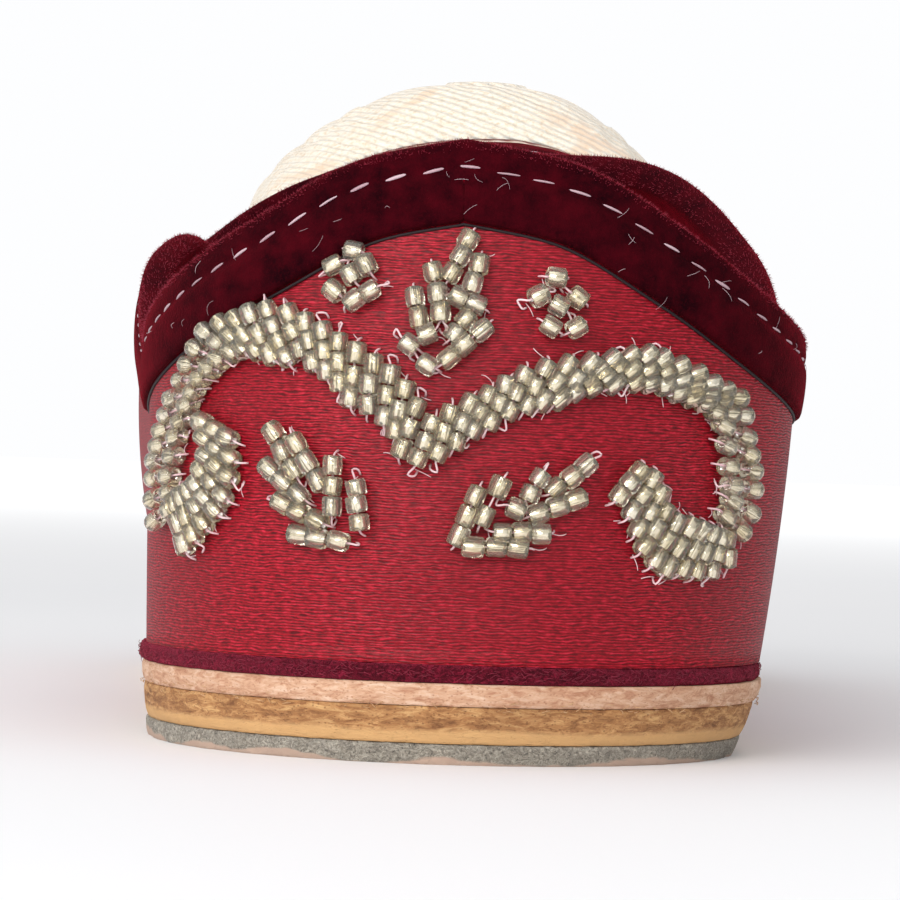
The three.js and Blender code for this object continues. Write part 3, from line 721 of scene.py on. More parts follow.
class Scatter:
    """Places for copies of one small shape: where, which way and how large."""

    def __init__(self):
        self.spots, self.turns, self.reaches = [], [], []

    def put(self, spot, first, axis, reach):
        """The shape's x goes along first, its z along axis."""
        second = np.cross(axis, first)
        turned = Matrix(np.stack([first, second, axis], axis=1).tolist())
        self.spots.append(spot)
        self.turns.append(tuple(turned.to_euler("XYZ")))
        self.reaches.append(reach)

    def piece(self, name, shape, material, node_names=(), slot=None, seed=7, uvs=None, smooth_shading=True):
        base = raw_mesh(name + "_points", np.array(self.spots) - SHIFT, [])
        for label, values in (("turn", self.turns), ("reach", self.reaches)):
            kept = base.attributes.new(label, "FLOAT_VECTOR", "POINT")
            kept.data.foreach_set("vector", np.asarray(values, float).ravel())
        carrier = bpy.data.objects.new(name + "_points", base)
        bpy.context.scene.collection.objects.link(carrier)
        model = copy_shape(name, shape, uvs, smooth_shading)
        tree, ports = scatter_tree()
        live = carrier.modifiers.new("scatter", "NODES")
        live.node_group = tree
        for label, value in (("Shape", model), ("Size", 1.0), ("Seed", seed), ("Material", material)):
            live[ports[label]] = value
        mesh = bpy.data.meshes.new_from_object(carrier.evaluated_get(bpy.context.evaluated_depsgraph_get()))
        for spent in (carrier, model):
            bpy.data.objects.remove(spent)
        mesh.name = name
        for label in ("turn", "reach"):
            if label in mesh.attributes:
                mesh.attributes.remove(mesh.attributes[label])
        return enlist(name, mesh, node_names)


# Running stitch and a thin dark tube along the band's lower edge

STITCH_PITCH = 3.8
STITCH_LENGTH = 2.75
STITCH_RADIUS = 0.14
STITCH_SLANT = 0.14
STITCH_BOW = 0.26
STITCH_SINK = 0.3


def stitch_shape():
    """One stitch one millimetre long: it dives at both ends and lies a little across its line."""
    share = np.linspace(0, 1, 9)
    bow = np.sin(np.pi * share)
    slant = np.linspace(-STITCH_SLANT, STITCH_SLANT, 9)
    path = np.stack([share - 0.5, slant, bow * STITCH_BOW - STITCH_SINK], axis=1)
    return tube(path, STITCH_RADIUS * (0.7 + 0.3 * bow), 8, np.tile([0, 0, 1.0], (9, 1)))


def make_stitches(thread):
    line, out = collar_line(STITCH_INSET, band_offset(STITCH_INSET) + 0.1, 300, 100)
    length = length_along(line)
    stitches = Scatter()
    for number in range(int(length[-1] / STITCH_PITCH)):
        reach = STITCH_LENGTH * random.uniform(0.9, 1.06)
        middle = STITCH_PITCH * number + random.uniform(-0.12, 0.12) + reach / 2
        spot, ahead = at_length(line, length, middle), at_length(line, length, middle + 0.3)
        normal = unit(at_length(out, length, middle))
        along = unit(ahead - spot)
        stitches.put(spot, unit(along - normal * (along @ normal)), normal, (reach, random.uniform(0.6, 1.3), 1.0))
    return stitches.piece("running_stitch", stitch_shape(), thread, seed=3)


def make_band_edge_line(dark):
    # A thin dark tube just below the band's lower edge, all the way round.
    path, normal = collar_line(BAND_WIDTH + 0.1, 0.08)
    path = np.vstack([path, path[:1]])
    normal = np.vstack([normal, normal[:1]])
    heap = Heap()
    heap.put(*tube(path, 0.17, 8, normal))
    return heap.piece("band_cord", dark)


# Sole layers

SOLE_STATIONS = 260
EDGE_LEVELS = (0.0, 0.08, 0.2, 0.35, 0.5, 0.65, 0.8, 0.92, 1.0)
ACROSS = (0.06, 0.2, 0.4, 0.6, 0.8, 0.94)
STACK_HEIGHT = OUTSOLE + MIDSOLE + HEEL_LIFT + 2 * GAP


def plan_at(around, side, margin):
    """The foot's outline let out along its plan normal; margin is a number or a function of side."""
    step = 2e-3

    def plan(a):
        y = along_of(a)
        return np.array([SIGN[side] * foot_half(y, side), y])

    along = plan(min(around + step, 1)) - plan(max(around - step, 0))
    if around < step:
        along = np.array([SIGN[side], 0.0])
    if around > 1 - step:
        along = np.array([-SIGN[side], 0.0])
    along = unit(along)
    out = np.array([along[1], -along[0]]) * SIGN[side]
    reach = margin(side) * abs(out[0]) + SOLE_MARGIN if callable(margin) else margin
    return plan(around) + out * reach, out


def leaned_in(height):
    return lambda side: -STACK_TAPER[side] * (1 - height / STACK_HEIGHT)


def ragged(position, seed, scale):
    """A smooth wandering value from -1 to 1 along an edge."""
    phases = np.random.RandomState(seed).uniform(0, 6.28, 5)
    waves = enumerate(zip((1.0, 1.73, 2.91, 4.7, 7.9), phases))
    return sum(math.sin(position * scale * rate + phase) / (1 + 0.6 * k) for k, (rate, phase) in waves) / 2.6


def outsole_top(y):
    return bottom_of(y) + OUTSOLE


def midsole_top(y):
    return outsole_top(y) + GAP + MIDSOLE


def sole_layer(name, low, high, margins, edge, material, slot, to=1.0, fray=0.04):
    """One layer from its bottom, top and the margins at both; edge is bulge, roughness, corner and seed."""
    bulge, rough, corner, seed = edge
    stations = np.linspace(0, to, SOLE_STATIONS)
    cut = along_of(to) if to < 1 else 1e9
    rows = []
    for around in stations:
        sides = {}
        for side in SIDES:
            column = []
            for level in EDGE_LEVELS:
                (x_low, y_low), out = plan_at(around, side, margins[0])
                (x_high, y_high), _ = plan_at(around, side, margins[1])
                where = foot_arc(around) * SIGN[side]
                tall = bulge * math.sin(math.pi * level) + rough * ragged(where + level * 3, seed, 0.9)
                tucked = corner * max(0.0, abs(level - 0.5) * 2 - 0.72) / 0.28
                x = x_low + (x_high - x_low) * level + out[0] * (tall - tucked)
                y = min(y_low + (y_high - y_low) * level + out[1] * (tall - tucked), cut)
                torn = fray * ragged(where, seed + 1, 2.6) * (level > 0) * abs(level * 2 - 1)
                column.append((x, y, low(y) + (high(y) - low(y)) * level + torn))
            sides[side] = np.array(column)
        lateral, medial = sides["lateral"], sides["medial"]
        over = [lateral[-1] * (1 - share) + medial[-1] * share for share in ACROSS]
        under = [medial[0] * (1 - share) + lateral[0] * share for share in ACROSS]
        rows.append(list(lateral) + over + list(medial[::-1]) + under)
    points = [point for row in rows for point in row]
    faces = capped_grid(len(rows), len(rows[0]), turned=True)
    return mesh_piece(name, points, faces, material, [slot[0]], weld=2e-6)


def rand_margin(side):
    return RAND_REACH[side] - SOLE_MARGIN


def make_sole(materials):
    sole_layer("suede_lift", lambda y: 0.0, lambda y: HEEL_LIFT + GAP * 0.7, (leaned_in(0), leaned_in(HEEL_LIFT)),
               (0.05, 0.2, 0.1, 3), materials["suede"], ("heel_lift", "split_suede"), around_of(LIFT_LENGTH), 0.08)
    low, top = HEEL_LIFT + GAP, HEEL_LIFT + GAP + OUTSOLE
    sole_layer("tan_outsole", bottom_of, outsole_top, (leaned_in(low), leaned_in(top)),
               (0.12, 0.1, 0.12, 5), materials["tan"], ("outsole", "sole_leather"))
    sole_layer("beige_midsole", lambda y: outsole_top(y) + GAP * 0.2, lambda y: midsole_top(y) + GAP * 0.4,
               (leaned_in(top + GAP), leaned_in(STACK_HEIGHT)), (0.14, 0.12, 0.1, 9), materials["beige"],
               ("midsole", "lining_leather"))
    sole_layer("felt_rand", lambda y: midsole_top(y) + GAP * 0.6, lambda y: foot_of(y) - GAP * 0.2,
               (rand_margin, rand_margin), (0.1, 0.2, 0.14, 13), materials["felt"], ("rand", "rand_felt"), fray=0.2)


# Insole: a padded sock that dips under the heel and the ball

HEEL_DIP = (32, 26, 0.75, 0.5)
BALL_DIP = (168, 26, 0.8, 0.45)


def dip(t, y, centre, long, wide, deep):
    """How far the sock is pressed down at a share across and a place along."""
    return deep * math.exp(-((y - centre) / long) ** 2 - (t / wide) ** 2)


def make_insole(cover):
    margin = -(UPPER_WALL + INSOLE_CLEARANCE)
    stations = np.linspace(0, 1, 120)
    across = np.linspace(-1, 1, 41)
    rows = []
    for around in stations:
        lateral, _ = plan_at(around, "lateral", margin)
        medial, _ = plan_at(around, "medial", margin)
        row_top, row_low = [], []
        for t in across:
            x, y = lateral * (1 - t) / 2 + medial * (1 + t) / 2
            pad = INSOLE * (1 - 0.3 * abs(t) ** 8) - dip(t, y, *HEEL_DIP)
            pad -= dip(t, y, *BALL_DIP)
            pad += 0.07 * ragged(x * 1.3 + y * 0.21, 31, 0.35)
            row_top.append((x, y, foot_of(y) + max(pad, 0.6)))
            row_low.append((x, y, foot_of(y) + 0.02))
        rows.append(row_top + row_low[::-1])
    points = [point for row in rows for point in row]
    faces = capped_grid(len(rows), len(rows[0]), turned=True)
    piece = mesh_piece("padded_insole", points, faces, cover, ["insole"], weld=2e-6)
    return piece


# Beads: strands of glass cylinders on the heel

BEAD_RADIUS = 1.04
BEAD_LIFT = 1.1
HOLE_HALF = 0.41
STRAND_PITCH = 2.0
BEAD_SIDES = 16
LINING_SIDES = 8
LONGEST_BEAD = 2.3
SINGLE_BEAD = 2.0
THREAD_RADIUS = 0.11
THREAD_BOW = 0.14
LOOP_SHARE = 0.3
STRAY_SHARE = 0.55

# Thread past the last bead: outward, down into the satin and sideways, in millimetres
LOOP_END = ((0.5, 0.2, 1.0), (1.0, 0.35, 1.7), (0.9, 0.6, -1.0), (0.3, 1.1, -1.0))
PLAIN_END = ((0.3, 0.35, 0.3), (0.5, 1.15, 0.6))

# Strands: share round at both ends (minus lateral), share up at both ends, beads
SCROLL_MEDIAL = (
    (-0.010, 0.387, -0.016, 0.331, 3), (0.0, 0.411, -0.004, 0.347, 3), (0.012, 0.435, 0.006, 0.379, 3),
    (0.026, 0.468, 0.020, 0.411, 3), (0.040, 0.484, 0.032, 0.427, 3), (0.058, 0.492, 0.044, 0.435, 3),
    (0.076, 0.508, 0.056, 0.452, 4), (0.092, 0.508, 0.078, 0.468, 3), (0.110, 0.492, 0.092, 0.468, 3),
    (0.126, 0.468, 0.106, 0.452, 3), (0.148, 0.444, 0.126, 0.435, 3), (0.152, 0.395, 0.135, 0.411, 2),
    (0.156, 0.363, 0.139, 0.379, 2), (0.160, 0.340, 0.142, 0.347, 2), (0.163, 0.309, 0.145, 0.310, 2),
    (0.163, 0.262, 0.147, 0.282, 2), (0.156, 0.232, 0.143, 0.256, 2), (0.146, 0.218, 0.148, 0.185, 2),
    (0.140, 0.218, 0.134, 0.161, 3), (0.130, 0.226, 0.120, 0.169, 3), (0.118, 0.234, 0.106, 0.169, 3),
    (0.108, 0.242, 0.098, 0.185, 3), (0.100, 0.266, 0.090, 0.210, 3), (0.096, 0.306, 0.086, 0.250, 3),
    (0.086, 0.323, 0.076, 0.282, 3),
)
SCROLL_LATERAL = (
    (-0.018, 0.411, -0.024, 0.347, 3), (-0.026, 0.452, -0.028, 0.387, 3), (-0.036, 0.476, -0.038, 0.411, 3),
    (-0.046, 0.492, -0.048, 0.419, 3), (-0.058, 0.516, -0.056, 0.452, 3), (-0.072, 0.540, -0.068, 0.476, 3),
    (-0.086, 0.556, -0.078, 0.500, 3), (-0.102, 0.565, -0.088, 0.484, 4), (-0.114, 0.548, -0.100, 0.500, 3),
    (-0.130, 0.540, -0.114, 0.500, 3), (-0.146, 0.516, -0.124, 0.492, 3), (-0.152, 0.484, -0.134, 0.476, 2),
    (-0.162, 0.452, -0.144, 0.452, 2), (-0.171, 0.411, -0.152, 0.427, 2), (-0.179, 0.379, -0.159, 0.395, 2),
    (-0.186, 0.339, -0.166, 0.355, 2), (-0.190, 0.315, -0.170, 0.323, 2), (-0.192, 0.285, -0.172, 0.290, 2),
    (-0.192, 0.250, -0.172, 0.262, 2), (-0.188, 0.212, -0.170, 0.234, 2), (-0.166, 0.242, -0.156, 0.177, 3),
    (-0.156, 0.258, -0.144, 0.202, 3), (-0.148, 0.266, -0.134, 0.226, 3), (-0.144, 0.290, -0.126, 0.250, 3),
    (-0.138, 0.315, -0.122, 0.282, 3), (-0.140, 0.347, -0.120, 0.315, 3), (-0.142, 0.379, -0.122, 0.355, 3),
)
LEAF_TOP = (
    (0.002, 0.685, -0.004, 0.629, 3), (0.006, 0.645, 0.004, 0.613, 2), (-0.004, 0.595, 0.002, 0.583, 1),
    (0.002, 0.587, 0.009, 0.573, 1), (0.002, 0.556, -0.002, 0.532, 2), (0.008, 0.540, -0.004, 0.492, 3),
    (-0.012, 0.629, -0.008, 0.565, 3), (-0.020, 0.589, -0.018, 0.556, 2), (-0.025, 0.522, -0.019, 0.508, 1),
    (-0.010, 0.538, -0.018, 0.524, 1), (-0.017, 0.489, -0.010, 0.476, 1),
)
LEAF_LATERAL = (
    (-0.092, 0.363, -0.080, 0.306, 3), (-0.078, 0.347, -0.066, 0.290, 3), (-0.094, 0.306, -0.076, 0.266, 3),
    (-0.086, 0.250, -0.066, 0.226, 3), (-0.076, 0.202, -0.054, 0.194, 3), (-0.058, 0.315, -0.058, 0.250, 3),
    (-0.046, 0.282, -0.044, 0.226, 3),
)
LEAF_MEDIAL = (
    (0.008, 0.274, 0.002, 0.210, 3), (0.018, 0.290, 0.012, 0.242, 2), (0.008, 0.194, 0.028, 0.194, 3),
    (0.020, 0.218, 0.038, 0.218, 3), (0.022, 0.262, 0.030, 0.252, 1), (0.036, 0.306, 0.032, 0.282, 2),
    (0.058, 0.331, 0.044, 0.290, 3), (0.054, 0.274, 0.036, 0.250, 3),
)
FLORET_LATERAL = (
    (-0.055, 0.663, -0.048, 0.659, 1), (-0.066, 0.629, -0.058, 0.645, 1), (-0.047, 0.651, -0.042, 0.625, 1),
    (-0.055, 0.637, -0.049, 0.606, 1), (-0.065, 0.605, -0.058, 0.589, 1), (-0.046, 0.590, -0.038, 0.605, 1),
    (-0.054, 0.573, -0.047, 0.589, 1),
)
FLORET_MEDIAL = (
    (0.036, 0.629, 0.044, 0.630, 1), (0.028, 0.589, 0.036, 0.605, 1), (0.038, 0.590, 0.046, 0.574, 1),
    (0.047, 0.606, 0.054, 0.590, 1), (0.035, 0.556, 0.042, 0.541, 1), (0.047, 0.541, 0.054, 0.556, 1),
)


def heel_spot(around, up, offset):
    """A point over the heel's wall by signed share round and share up, and its normal."""
    side = "lateral" if around < 0 else "medial"
    return skin_point(abs(around), np.array(up * HEEL_HEIGHT), side, offset)


def ring_loop(centre, axis, first, radius, square, count=BEAD_SIDES):
    """A loop round an axis, from a circle to a rounded square."""
    second = np.cross(axis, first)
    turn = np.arange(count) * 2 * np.pi / count
    boxed = 1 / np.maximum(np.abs(np.cos(turn)), np.abs(np.sin(turn)))
    reach = radius * (1 + square * (np.minimum(boxed, 1.32) - 1))
    return centre + first * (np.cos(turn) * reach)[:, None] + second * (np.sin(turn) * reach)[:, None]


def bead_shape():
    """A glass cylinder of unit length and radius with a square hole, round z."""
    axis, first = np.array([0, 0, 1.0]), np.array([1.0, 0, 0])
    profile = ((-0.5, 0.78, 0), (-0.46, 0.93, 0), (-0.38, 1.0, 0), (0.0, 1.015, 0),
               (0.38, 1.0, 0), (0.46, 0.93, 0), (0.5, 0.78, 0))
    loops = [ring_loop(axis * at, axis, first, share, square) for at, share, square in profile]
    loops += [ring_loop(axis * at, axis, first, HOLE_HALF, 1.0) for at in (0.485, 0.0, -0.485)]
    faces = grid_faces(len(loops), BEAD_SIDES, closed=True, turned=True)
    faces += wrap_faces((len(loops) - 1) * BEAD_SIDES, 0, BEAD_SIDES, True)
    return np.concatenate(loops), faces


def lining_shape():
    """The silver in the square hole, with a lay that runs round it and along it."""
    axis, first = np.array([0, 0, 1.0]), np.array([1.0, 0, 0])
    loops = [ring_loop(axis * at, axis, first, HOLE_HALF * share, 1.0, LINING_SIDES)
             for at, share in ((0.475, 1.05), (-0.475, 1.05), (-0.475, 0.86), (0.475, 0.86))]
    turn = np.arange(LINING_SIDES) / LINING_SIDES
    lay = [np.stack([np.abs(turn * 2 - 1), np.full(LINING_SIDES, at)], axis=1) for at in (1.0, 0.0, 0.0, 1.0)]
    faces = grid_faces(4, LINING_SIDES, closed=True) + wrap_faces(3 * LINING_SIDES, 0, LINING_SIDES)
    return (np.concatenate(loops), faces), np.concatenate(lay)


def strand_spots(strand):
    """Bead centres of one strand, the outward direction and the bead length."""
    around0, up0, around1, up1, count = strand
    start, normal0 = heel_spot(around0, up0, BEAD_LIFT)
    end, normal1 = heel_spot(around1, up1, BEAD_LIFT)
    axis, out = unit(end - start), unit(normal0 + normal1)
    if count == 1:
        return np.array([(start + end) / 2]), axis, out, SINGLE_BEAD
    share = np.linspace(0, 1, count)[:, None]
    spots = start * (1 - share) + end * share + out * THREAD_BOW * np.sin(np.pi * share)
    length = min(np.linalg.norm(end - start) / (count - 1), LONGEST_BEAD)
    return spots, axis, out, length


def thread_through(spots, axis, out, length):
    """The nylon thread of one strand: down into the satin at both ends, or in a small loop."""
    tails = []
    for tip, outward in ((spots[0], -axis), (spots[-1], axis)):
        edge = tip + outward * length * 0.52
        side = np.cross(outward, out) * random.uniform(-0.5, 0.5)
        steps = LOOP_END if random.random() < LOOP_SHARE else PLAIN_END
        tails.append([edge] + [edge + outward * a - out * b + side * c for a, b, c in steps])
    path = np.array(tails[0][::-1] + list(spots) + tails[1])
    at = length_along(path)
    bent = at_length(path, at, np.linspace(0, at[-1], 30))
    bent[1:-1] = (bent[:-2] + bent[1:-1] * 2 + bent[2:]) / 4
    return bent


def loose_thread(spot, out, reach, radius, points=9):
    """A fine fibre that wanders over the surface from a spot."""
    heading = unit(np.cross(out, [random.gauss(0, 1) for _ in range(3)]))
    turn = random.uniform(-1.2, 1.2)
    path, here = [], spot - out * 0.3
    for step in range(points):
        rise = 0.25 * math.sin(math.pi * step / (points - 1))
        path.append(here + out * (0.25 + rise))
        side = np.cross(out, heading)
        heading = unit(heading + side * turn / points * random.uniform(0.2, 2.5))
        here = here + heading * reach / points
    return tube(path, radius, 4)


def closed_up(strands):
    """The same run of strands, spaced anew so that neighbours all but touch."""
    ends = np.array([strand[:4] for strand in strands], float)
    middle = np.array([heel_spot((a + c) / 2, (b + d) / 2, 0.0)[0] for a, b, c, d in ends])
    at = length_along(middle)
    counts = [strand[4] for strand in strands]
    run = []
    for spot in np.linspace(0, at[-1], round(at[-1] / STRAND_PITCH) + 1):
        nearest = counts[int(np.argmin(np.abs(at - spot)))]
        run.append(tuple(at_length(ends, at, spot)) + (nearest,))
    return run


SCROLL = (closed_up(SCROLL_MEDIAL[:17]) + closed_up(SCROLL_MEDIAL[17:]) + closed_up(SCROLL_LATERAL[:20])
          + closed_up(SCROLL_LATERAL[20:]))
STRAND_GROUPS = (
    ("scroll", "heel_scroll", SCROLL),
    ("leaf_top", "heel_leaf_top", LEAF_TOP),
    ("leaf_lateral", "heel_leaf_lateral", LEAF_LATERAL),
    ("leaf_medial", "heel_leaf_medial", LEAF_MEDIAL),
    ("floret_lateral", "heel_floret_lateral", FLORET_LATERAL),
    ("floret_medial", "heel_floret_medial", FLORET_MEDIAL),
)


def make_beads(glass, silver, nylon):
    threads = Heap()
    for number, (name, node, strands) in enumerate(STRAND_GROUPS):
        beads = Scatter()
        for strand in strands:
            spots, axis, out, length = strand_spots(strand)
            for spot in spots:
                wander = np.array([random.gauss(0, 0.05) for _ in range(3)])
                turned = unit(axis + np.array([random.gauss(0, 0.07) for _ in range(3)]))
                rolled = unit(out + np.cross(turned, out) * random.uniform(-0.6, 0.6))
                size = BEAD_RADIUS * random.uniform(0.93, 1.05)
                first = unit(rolled - turned * (rolled @ turned))
                beads.put(spot + wander, first, turned, (size, size, length * random.uniform(0.9, 0.98)))
            threads.put(*tube(thread_through(spots, axis, out, length), THREAD_RADIUS, 6), random.random())
            for tip, outward in ((spots[0], -axis), (spots[-1], axis)):
                if random.random() < STRAY_SHARE:
                    foot = tip + outward * length * 0.6 - out * (BEAD_LIFT - 0.1)
                    threads.put(*loose_thread(foot, out, random.uniform(0.8, 2.2), 0.05), random.random())
        beads.piece("beads_" + name, bead_shape(), glass, [node], "glass_beads", seed=number + 11)
        lining, lay = lining_shape()
        beads.piece("linings_" + name, lining, silver, seed=number + 31, uvs=lay)
    threads.piece("bead_threads", nylon)


# Velvet pile along the rim, and lint on the band

PILE_HAIRS = 9000
PILE_TURN = (-0.25, math.pi * 0.85)
PILE_REACH = (0.2, 0.42)
LINT_COUNT = 30
LINT_RADIUS = (0.014, 0.024)


def make_pile(fur, lint_material):
    line, out = collar_line(0.0, 0.0, 420, 140)
    lower = collar_line(1.0, 0.0, 420, 140)[0]
    up = unit(line - lower)
    pile = Scatter()
    for _ in range(PILE_HAIRS):
        i = random.randrange(len(line))
        j = (i + 1) % len(line)
        share = random.random()
        base = line[i] * (1 - share) + line[j] * share
        turn = random.uniform(*PILE_TURN)
        root = over_rim(base, out[i], up[i], turn)
        stray = np.array([random.gauss(0, 0.35) for _ in range(3)])
        aim = unit(out[i] * math.cos(turn) + up[i] * math.sin(turn) + stray)
        reach = random.uniform(*PILE_REACH)
        pile.put(root, unit(np.cross(aim, [0.3, 0.5, 0.8])), aim, (1.0, 1.0, reach))
    corners = [(0.035, 0, 0), (-0.02, 0.03, 0), (-0.02, -0.03, 0), (0, 0, 1.0)]
    hair = corners, [(0, 2, 1), (0, 1, 3), (1, 2, 3), (2, 0, 3)]
    pile.piece("velvet_pile", hair, fur, seed=5, smooth_shading=False)
    lint = Heap()
    for _ in range(LINT_COUNT):
        inset = random.uniform(0.2, BAND_WIDTH - 0.5)
        around = random.uniform(0, 0.26)
        side = random.choice(SIDES)
        spot, normal = on_skin(beside_collar(np.array([around]), side, inset), side, band_offset(inset) + 0.12)
        reach, radius = random.uniform(0.6, 2.4), random.uniform(*LINT_RADIUS)
        lint.put(*loose_thread(spot[0], normal[0], reach, radius), random.random())
    lint.piece("lint", lint_material)


# Fibres along the felt rand and the leather edges

def fibre_shape():
    """A fibre of unit length along x that arches away along z and thins towards its end."""
    steps = np.linspace(0, 1, 6)
    path = np.stack([steps, np.zeros(6), 0.45 * np.sin(np.pi * 0.8 * steps)], axis=1)
    return tube(path, 0.05 * np.linspace(1.0, 0.5, 6), 4)


def edge_fibres(name, material, height, margin, count, reach, seed):
    """Short fibres that lie along an edge, scattered half a millimetre up and down from its height."""
    fibres = Scatter()
    for _ in range(count):
        around, side = random.uniform(0, 0.98), random.choice(SIDES)
        (x, y), out = plan_at(around, side, margin)
        spot = np.array([x, y, height(y) + random.uniform(-0.5, 0.5)])
        normal = unit(np.array([out[0], out[1], random.uniform(-0.3, 0.5)]))
        along = np.array([-out[1], out[0], random.gauss(0, 0.5)]) * random.choice((-1, 1))
        along = unit(along - normal * (along @ normal))
        length = random.uniform(0.3, 1.0) * reach
        fibres.put(spot - normal * 0.1, along, normal, (length, 0.9, length))
    return fibres.piece(name, fibre_shape(), material, seed=seed)


def make_fibres(felt_fibre, tan_fibre, gold):
    edge_fibres("rand_fibres", felt_fibre, lambda y: foot_of(y) - 0.9, rand_margin, 2600, 1.1, 17)
    edge_fibres("leather_fibres", tan_fibre, lambda y: outsole_top(y) + 0.1, leaned_in(STACK_HEIGHT - 1),
                420, 0.9, 19)
    strand = Heap()
    base, _ = plan_at(0.19, "lateral", rand_margin)
    steps = np.linspace(0, 1, 14)[:, None]
    start = np.array([base[0] + 3.6, base[1] - 1.6, foot_of(base[1]) - 0.2])
    path = start + np.array([-1.7, -0.9, 2.2]) * steps + np.array([0.1, 0, 0.15]) * np.sin(np.pi * steps)
    strand.put(*tube(path, 0.09, 6))
    strand.piece("stray_gold", gold)


# Camera: from behind the heel, level, a little rolled

CAMERA_SPOT = (-0.918 * MM, -572.0 * MM, 31.5 * MM)
CAMERA_ROLL = math.radians(1.9)
LENS, SENSOR = 180, 36


def make_camera():
    data = bpy.data.cameras.new("camera")
    data.lens, data.sensor_width = LENS, SENSOR
    camera = bpy.data.objects.new("camera", data)
    bpy.context.scene.collection.objects.link(camera)
    level, rolled = Matrix.Rotation(math.radians(90), 4, "X"), Matrix.Rotation(CAMERA_ROLL, 4, "Z")
    camera.matrix_world = Matrix.Translation(CAMERA_SPOT) @ level @ rolled
    bpy.context.scene.camera = camera


# Studio: the sky is brighter behind the camera and on the left

SKY_SIDE = (-0.4, -0.6, 0.4)
SKY_LEVEL = 0.56
SKY_SLOPE = 0.4
SKY_COLOUR = (0.985, 0.99, 1.0, 1)
FLOOR_REACH = 6.0

# Lights: name, place, target, size, power, colour
LIGHTS = (
    ("key", (-0.52, -0.9, 0.45), (0, -0.1, 0.04), (0.8, 0.5), 4.5, (1.0, 0.985, 0.97)),
    ("strip", (-0.12, -1.0, 0.42), (0, -0.12, 0.03), (0.7, 0.09), 2.2, (1, 1, 1)),
    ("top", (-0.1, 0.05, 1.1), (0, 0, 0.0), (1.2, 1.2), 2.5, (1, 1, 1)),
)


def area_light(name, place_at, target, size, power, colour):
    data = bpy.data.lights.new(name, "AREA")
    data.shape, data.size, data.size_y = "RECTANGLE", size[0], size[1]
    data.energy, data.color = power, colour
    lamp = bpy.data.objects.new(name, data)
    lamp.location = place_at
    lamp.rotation_euler = (Vector(target) - Vector(place_at)).to_track_quat("-Z", "Y").to_euler()
    bpy.context.scene.collection.objects.link(lamp)


def make_studio(floor_material):
    mesh = bpy.data.meshes.new("floor")
    corners = [(FLOOR_REACH * x, FLOOR_REACH * y, 0) for x, y in ((-1, -1), (1, -1), (1, 1), (-1, 1))]
    mesh.from_pydata(corners, [], [(0, 1, 2, 3)])
    mesh.materials.append(floor_material)
    floor = bpy.data.objects.new("floor", mesh)
    bpy.context.scene.collection.objects.link(floor)
    world = bpy.data.worlds.new("studio")
    world.use_nodes = True
    tree = world.node_tree
    coords = tree.nodes.new("ShaderNodeTexCoord")
    facing = tree.nodes.new("ShaderNodeVectorMath")
    facing.operation = "DOT_PRODUCT"
    facing.inputs[1].default_value = SKY_SIDE
    level = tree.nodes.new("ShaderNodeMath")
    level.operation = "MULTIPLY_ADD"
    level.inputs[1].default_value, level.inputs[2].default_value = SKY_SLOPE, SKY_LEVEL
    tree.links.new(coords.outputs["Generated"], facing.inputs[0])
    tree.links.new(facing.outputs["Value"], level.inputs[0])
    seen = tree.nodes.new("ShaderNodeLightPath")
    shown = tree.nodes.new("ShaderNodeMix")
    shown.inputs[3].default_value = 1.0
    tree.links.new(seen.outputs["Is Camera Ray"], shown.inputs[0])
    tree.links.new(level.outputs[0], shown.inputs[2])
    tree.links.new(shown.outputs[0], tree.nodes["Background"].inputs["Strength"])
    tree.nodes["Background"].inputs["Color"].default_value = SKY_COLOUR
    bpy.context.scene.world = world
    for light in LIGHTS:
        area_light(*light)


# Vamp needlework

VAMP_ACROSS = 90
VAMP_ALONG = 110
FLOWER_AT = 158.0
FLOWER_HEART = 5
FLOWER_EDGE = 17


def vamp_rear(girth, side):
    """Where the raised work starts at a girth from the ridge: just ahead of the binding."""
    around, run = beside_collar(collar_stations(24, 60)[24:], side, BAND_WIDTH + MEDALLION_MARGIN)
    away = full_run(around, side) - run
    order = np.argsort(away)
    return np.interp(girth, away[order], along_of(around)[order])


def make_vamp(work):
    share = np.linspace(0, 1, VAMP_ACROSS + 1)
    girth = MEDALLION_HALF * share
    ahead = np.linspace(0, 1, VAMP_ALONG + 1)
    middle = sum(vamp_rear(0.0, side) for side in SIDES) / 2
    points, faces = [], []
    rows, columns = len(share), len(ahead)
    for side in SIDES:
        start, turned, count = len(points), side == "lateral", rows * columns
        rear = vamp_rear(girth, side) + (middle - vamp_rear(0.0, side)) * (1 - share)
        front = rear + (MEDALLION_FRONT - rear) * (1 - 0.62 * share**2.2)
        y = rear[:, None] + (front - rear)[:, None] * ahead
        around = around_of(y)
        run = np.maximum(full_run(around, side) - girth[:, None], 0)
        base, normal = on_skin((around, run), side, 0.0)
        near = np.minimum(np.minimum(1 - share[:, None], ahead), 1 - ahead)
        rim = np.sqrt(clamp01(6 * near))
        lift = 0.5 + (MEDALLION_HEIGHT - 0.5) * rim * (0.75 + 0.25 * vamp_pattern(girth[:, None], y))
        points += list((base + normal * lift[..., None]).reshape(-1, 3))
        points += list((base + normal * 0.05).reshape(-1, 3))
        faces += grid_faces(rows, columns, start, turned) + grid_faces(rows, columns, start + count, not turned)
        rims = [(start + i * columns + j, start + (i + 1) * columns + j, (j == 0) == turned)
                for i in range(rows - 1) for j in (0, columns - 1)]
        last = start + (rows - 1) * columns
        rims += [(last + j, last + j + 1, not turned) for j in range(columns - 1)]
        for a, b, flip in rims:
            face = (a, b, b + count, a + count)
            faces.append(face[::-1] if flip else face)
    return mesh_piece("vamp_needlework", points, faces, work, ["vamp_embroidery"], weld=3e-6)


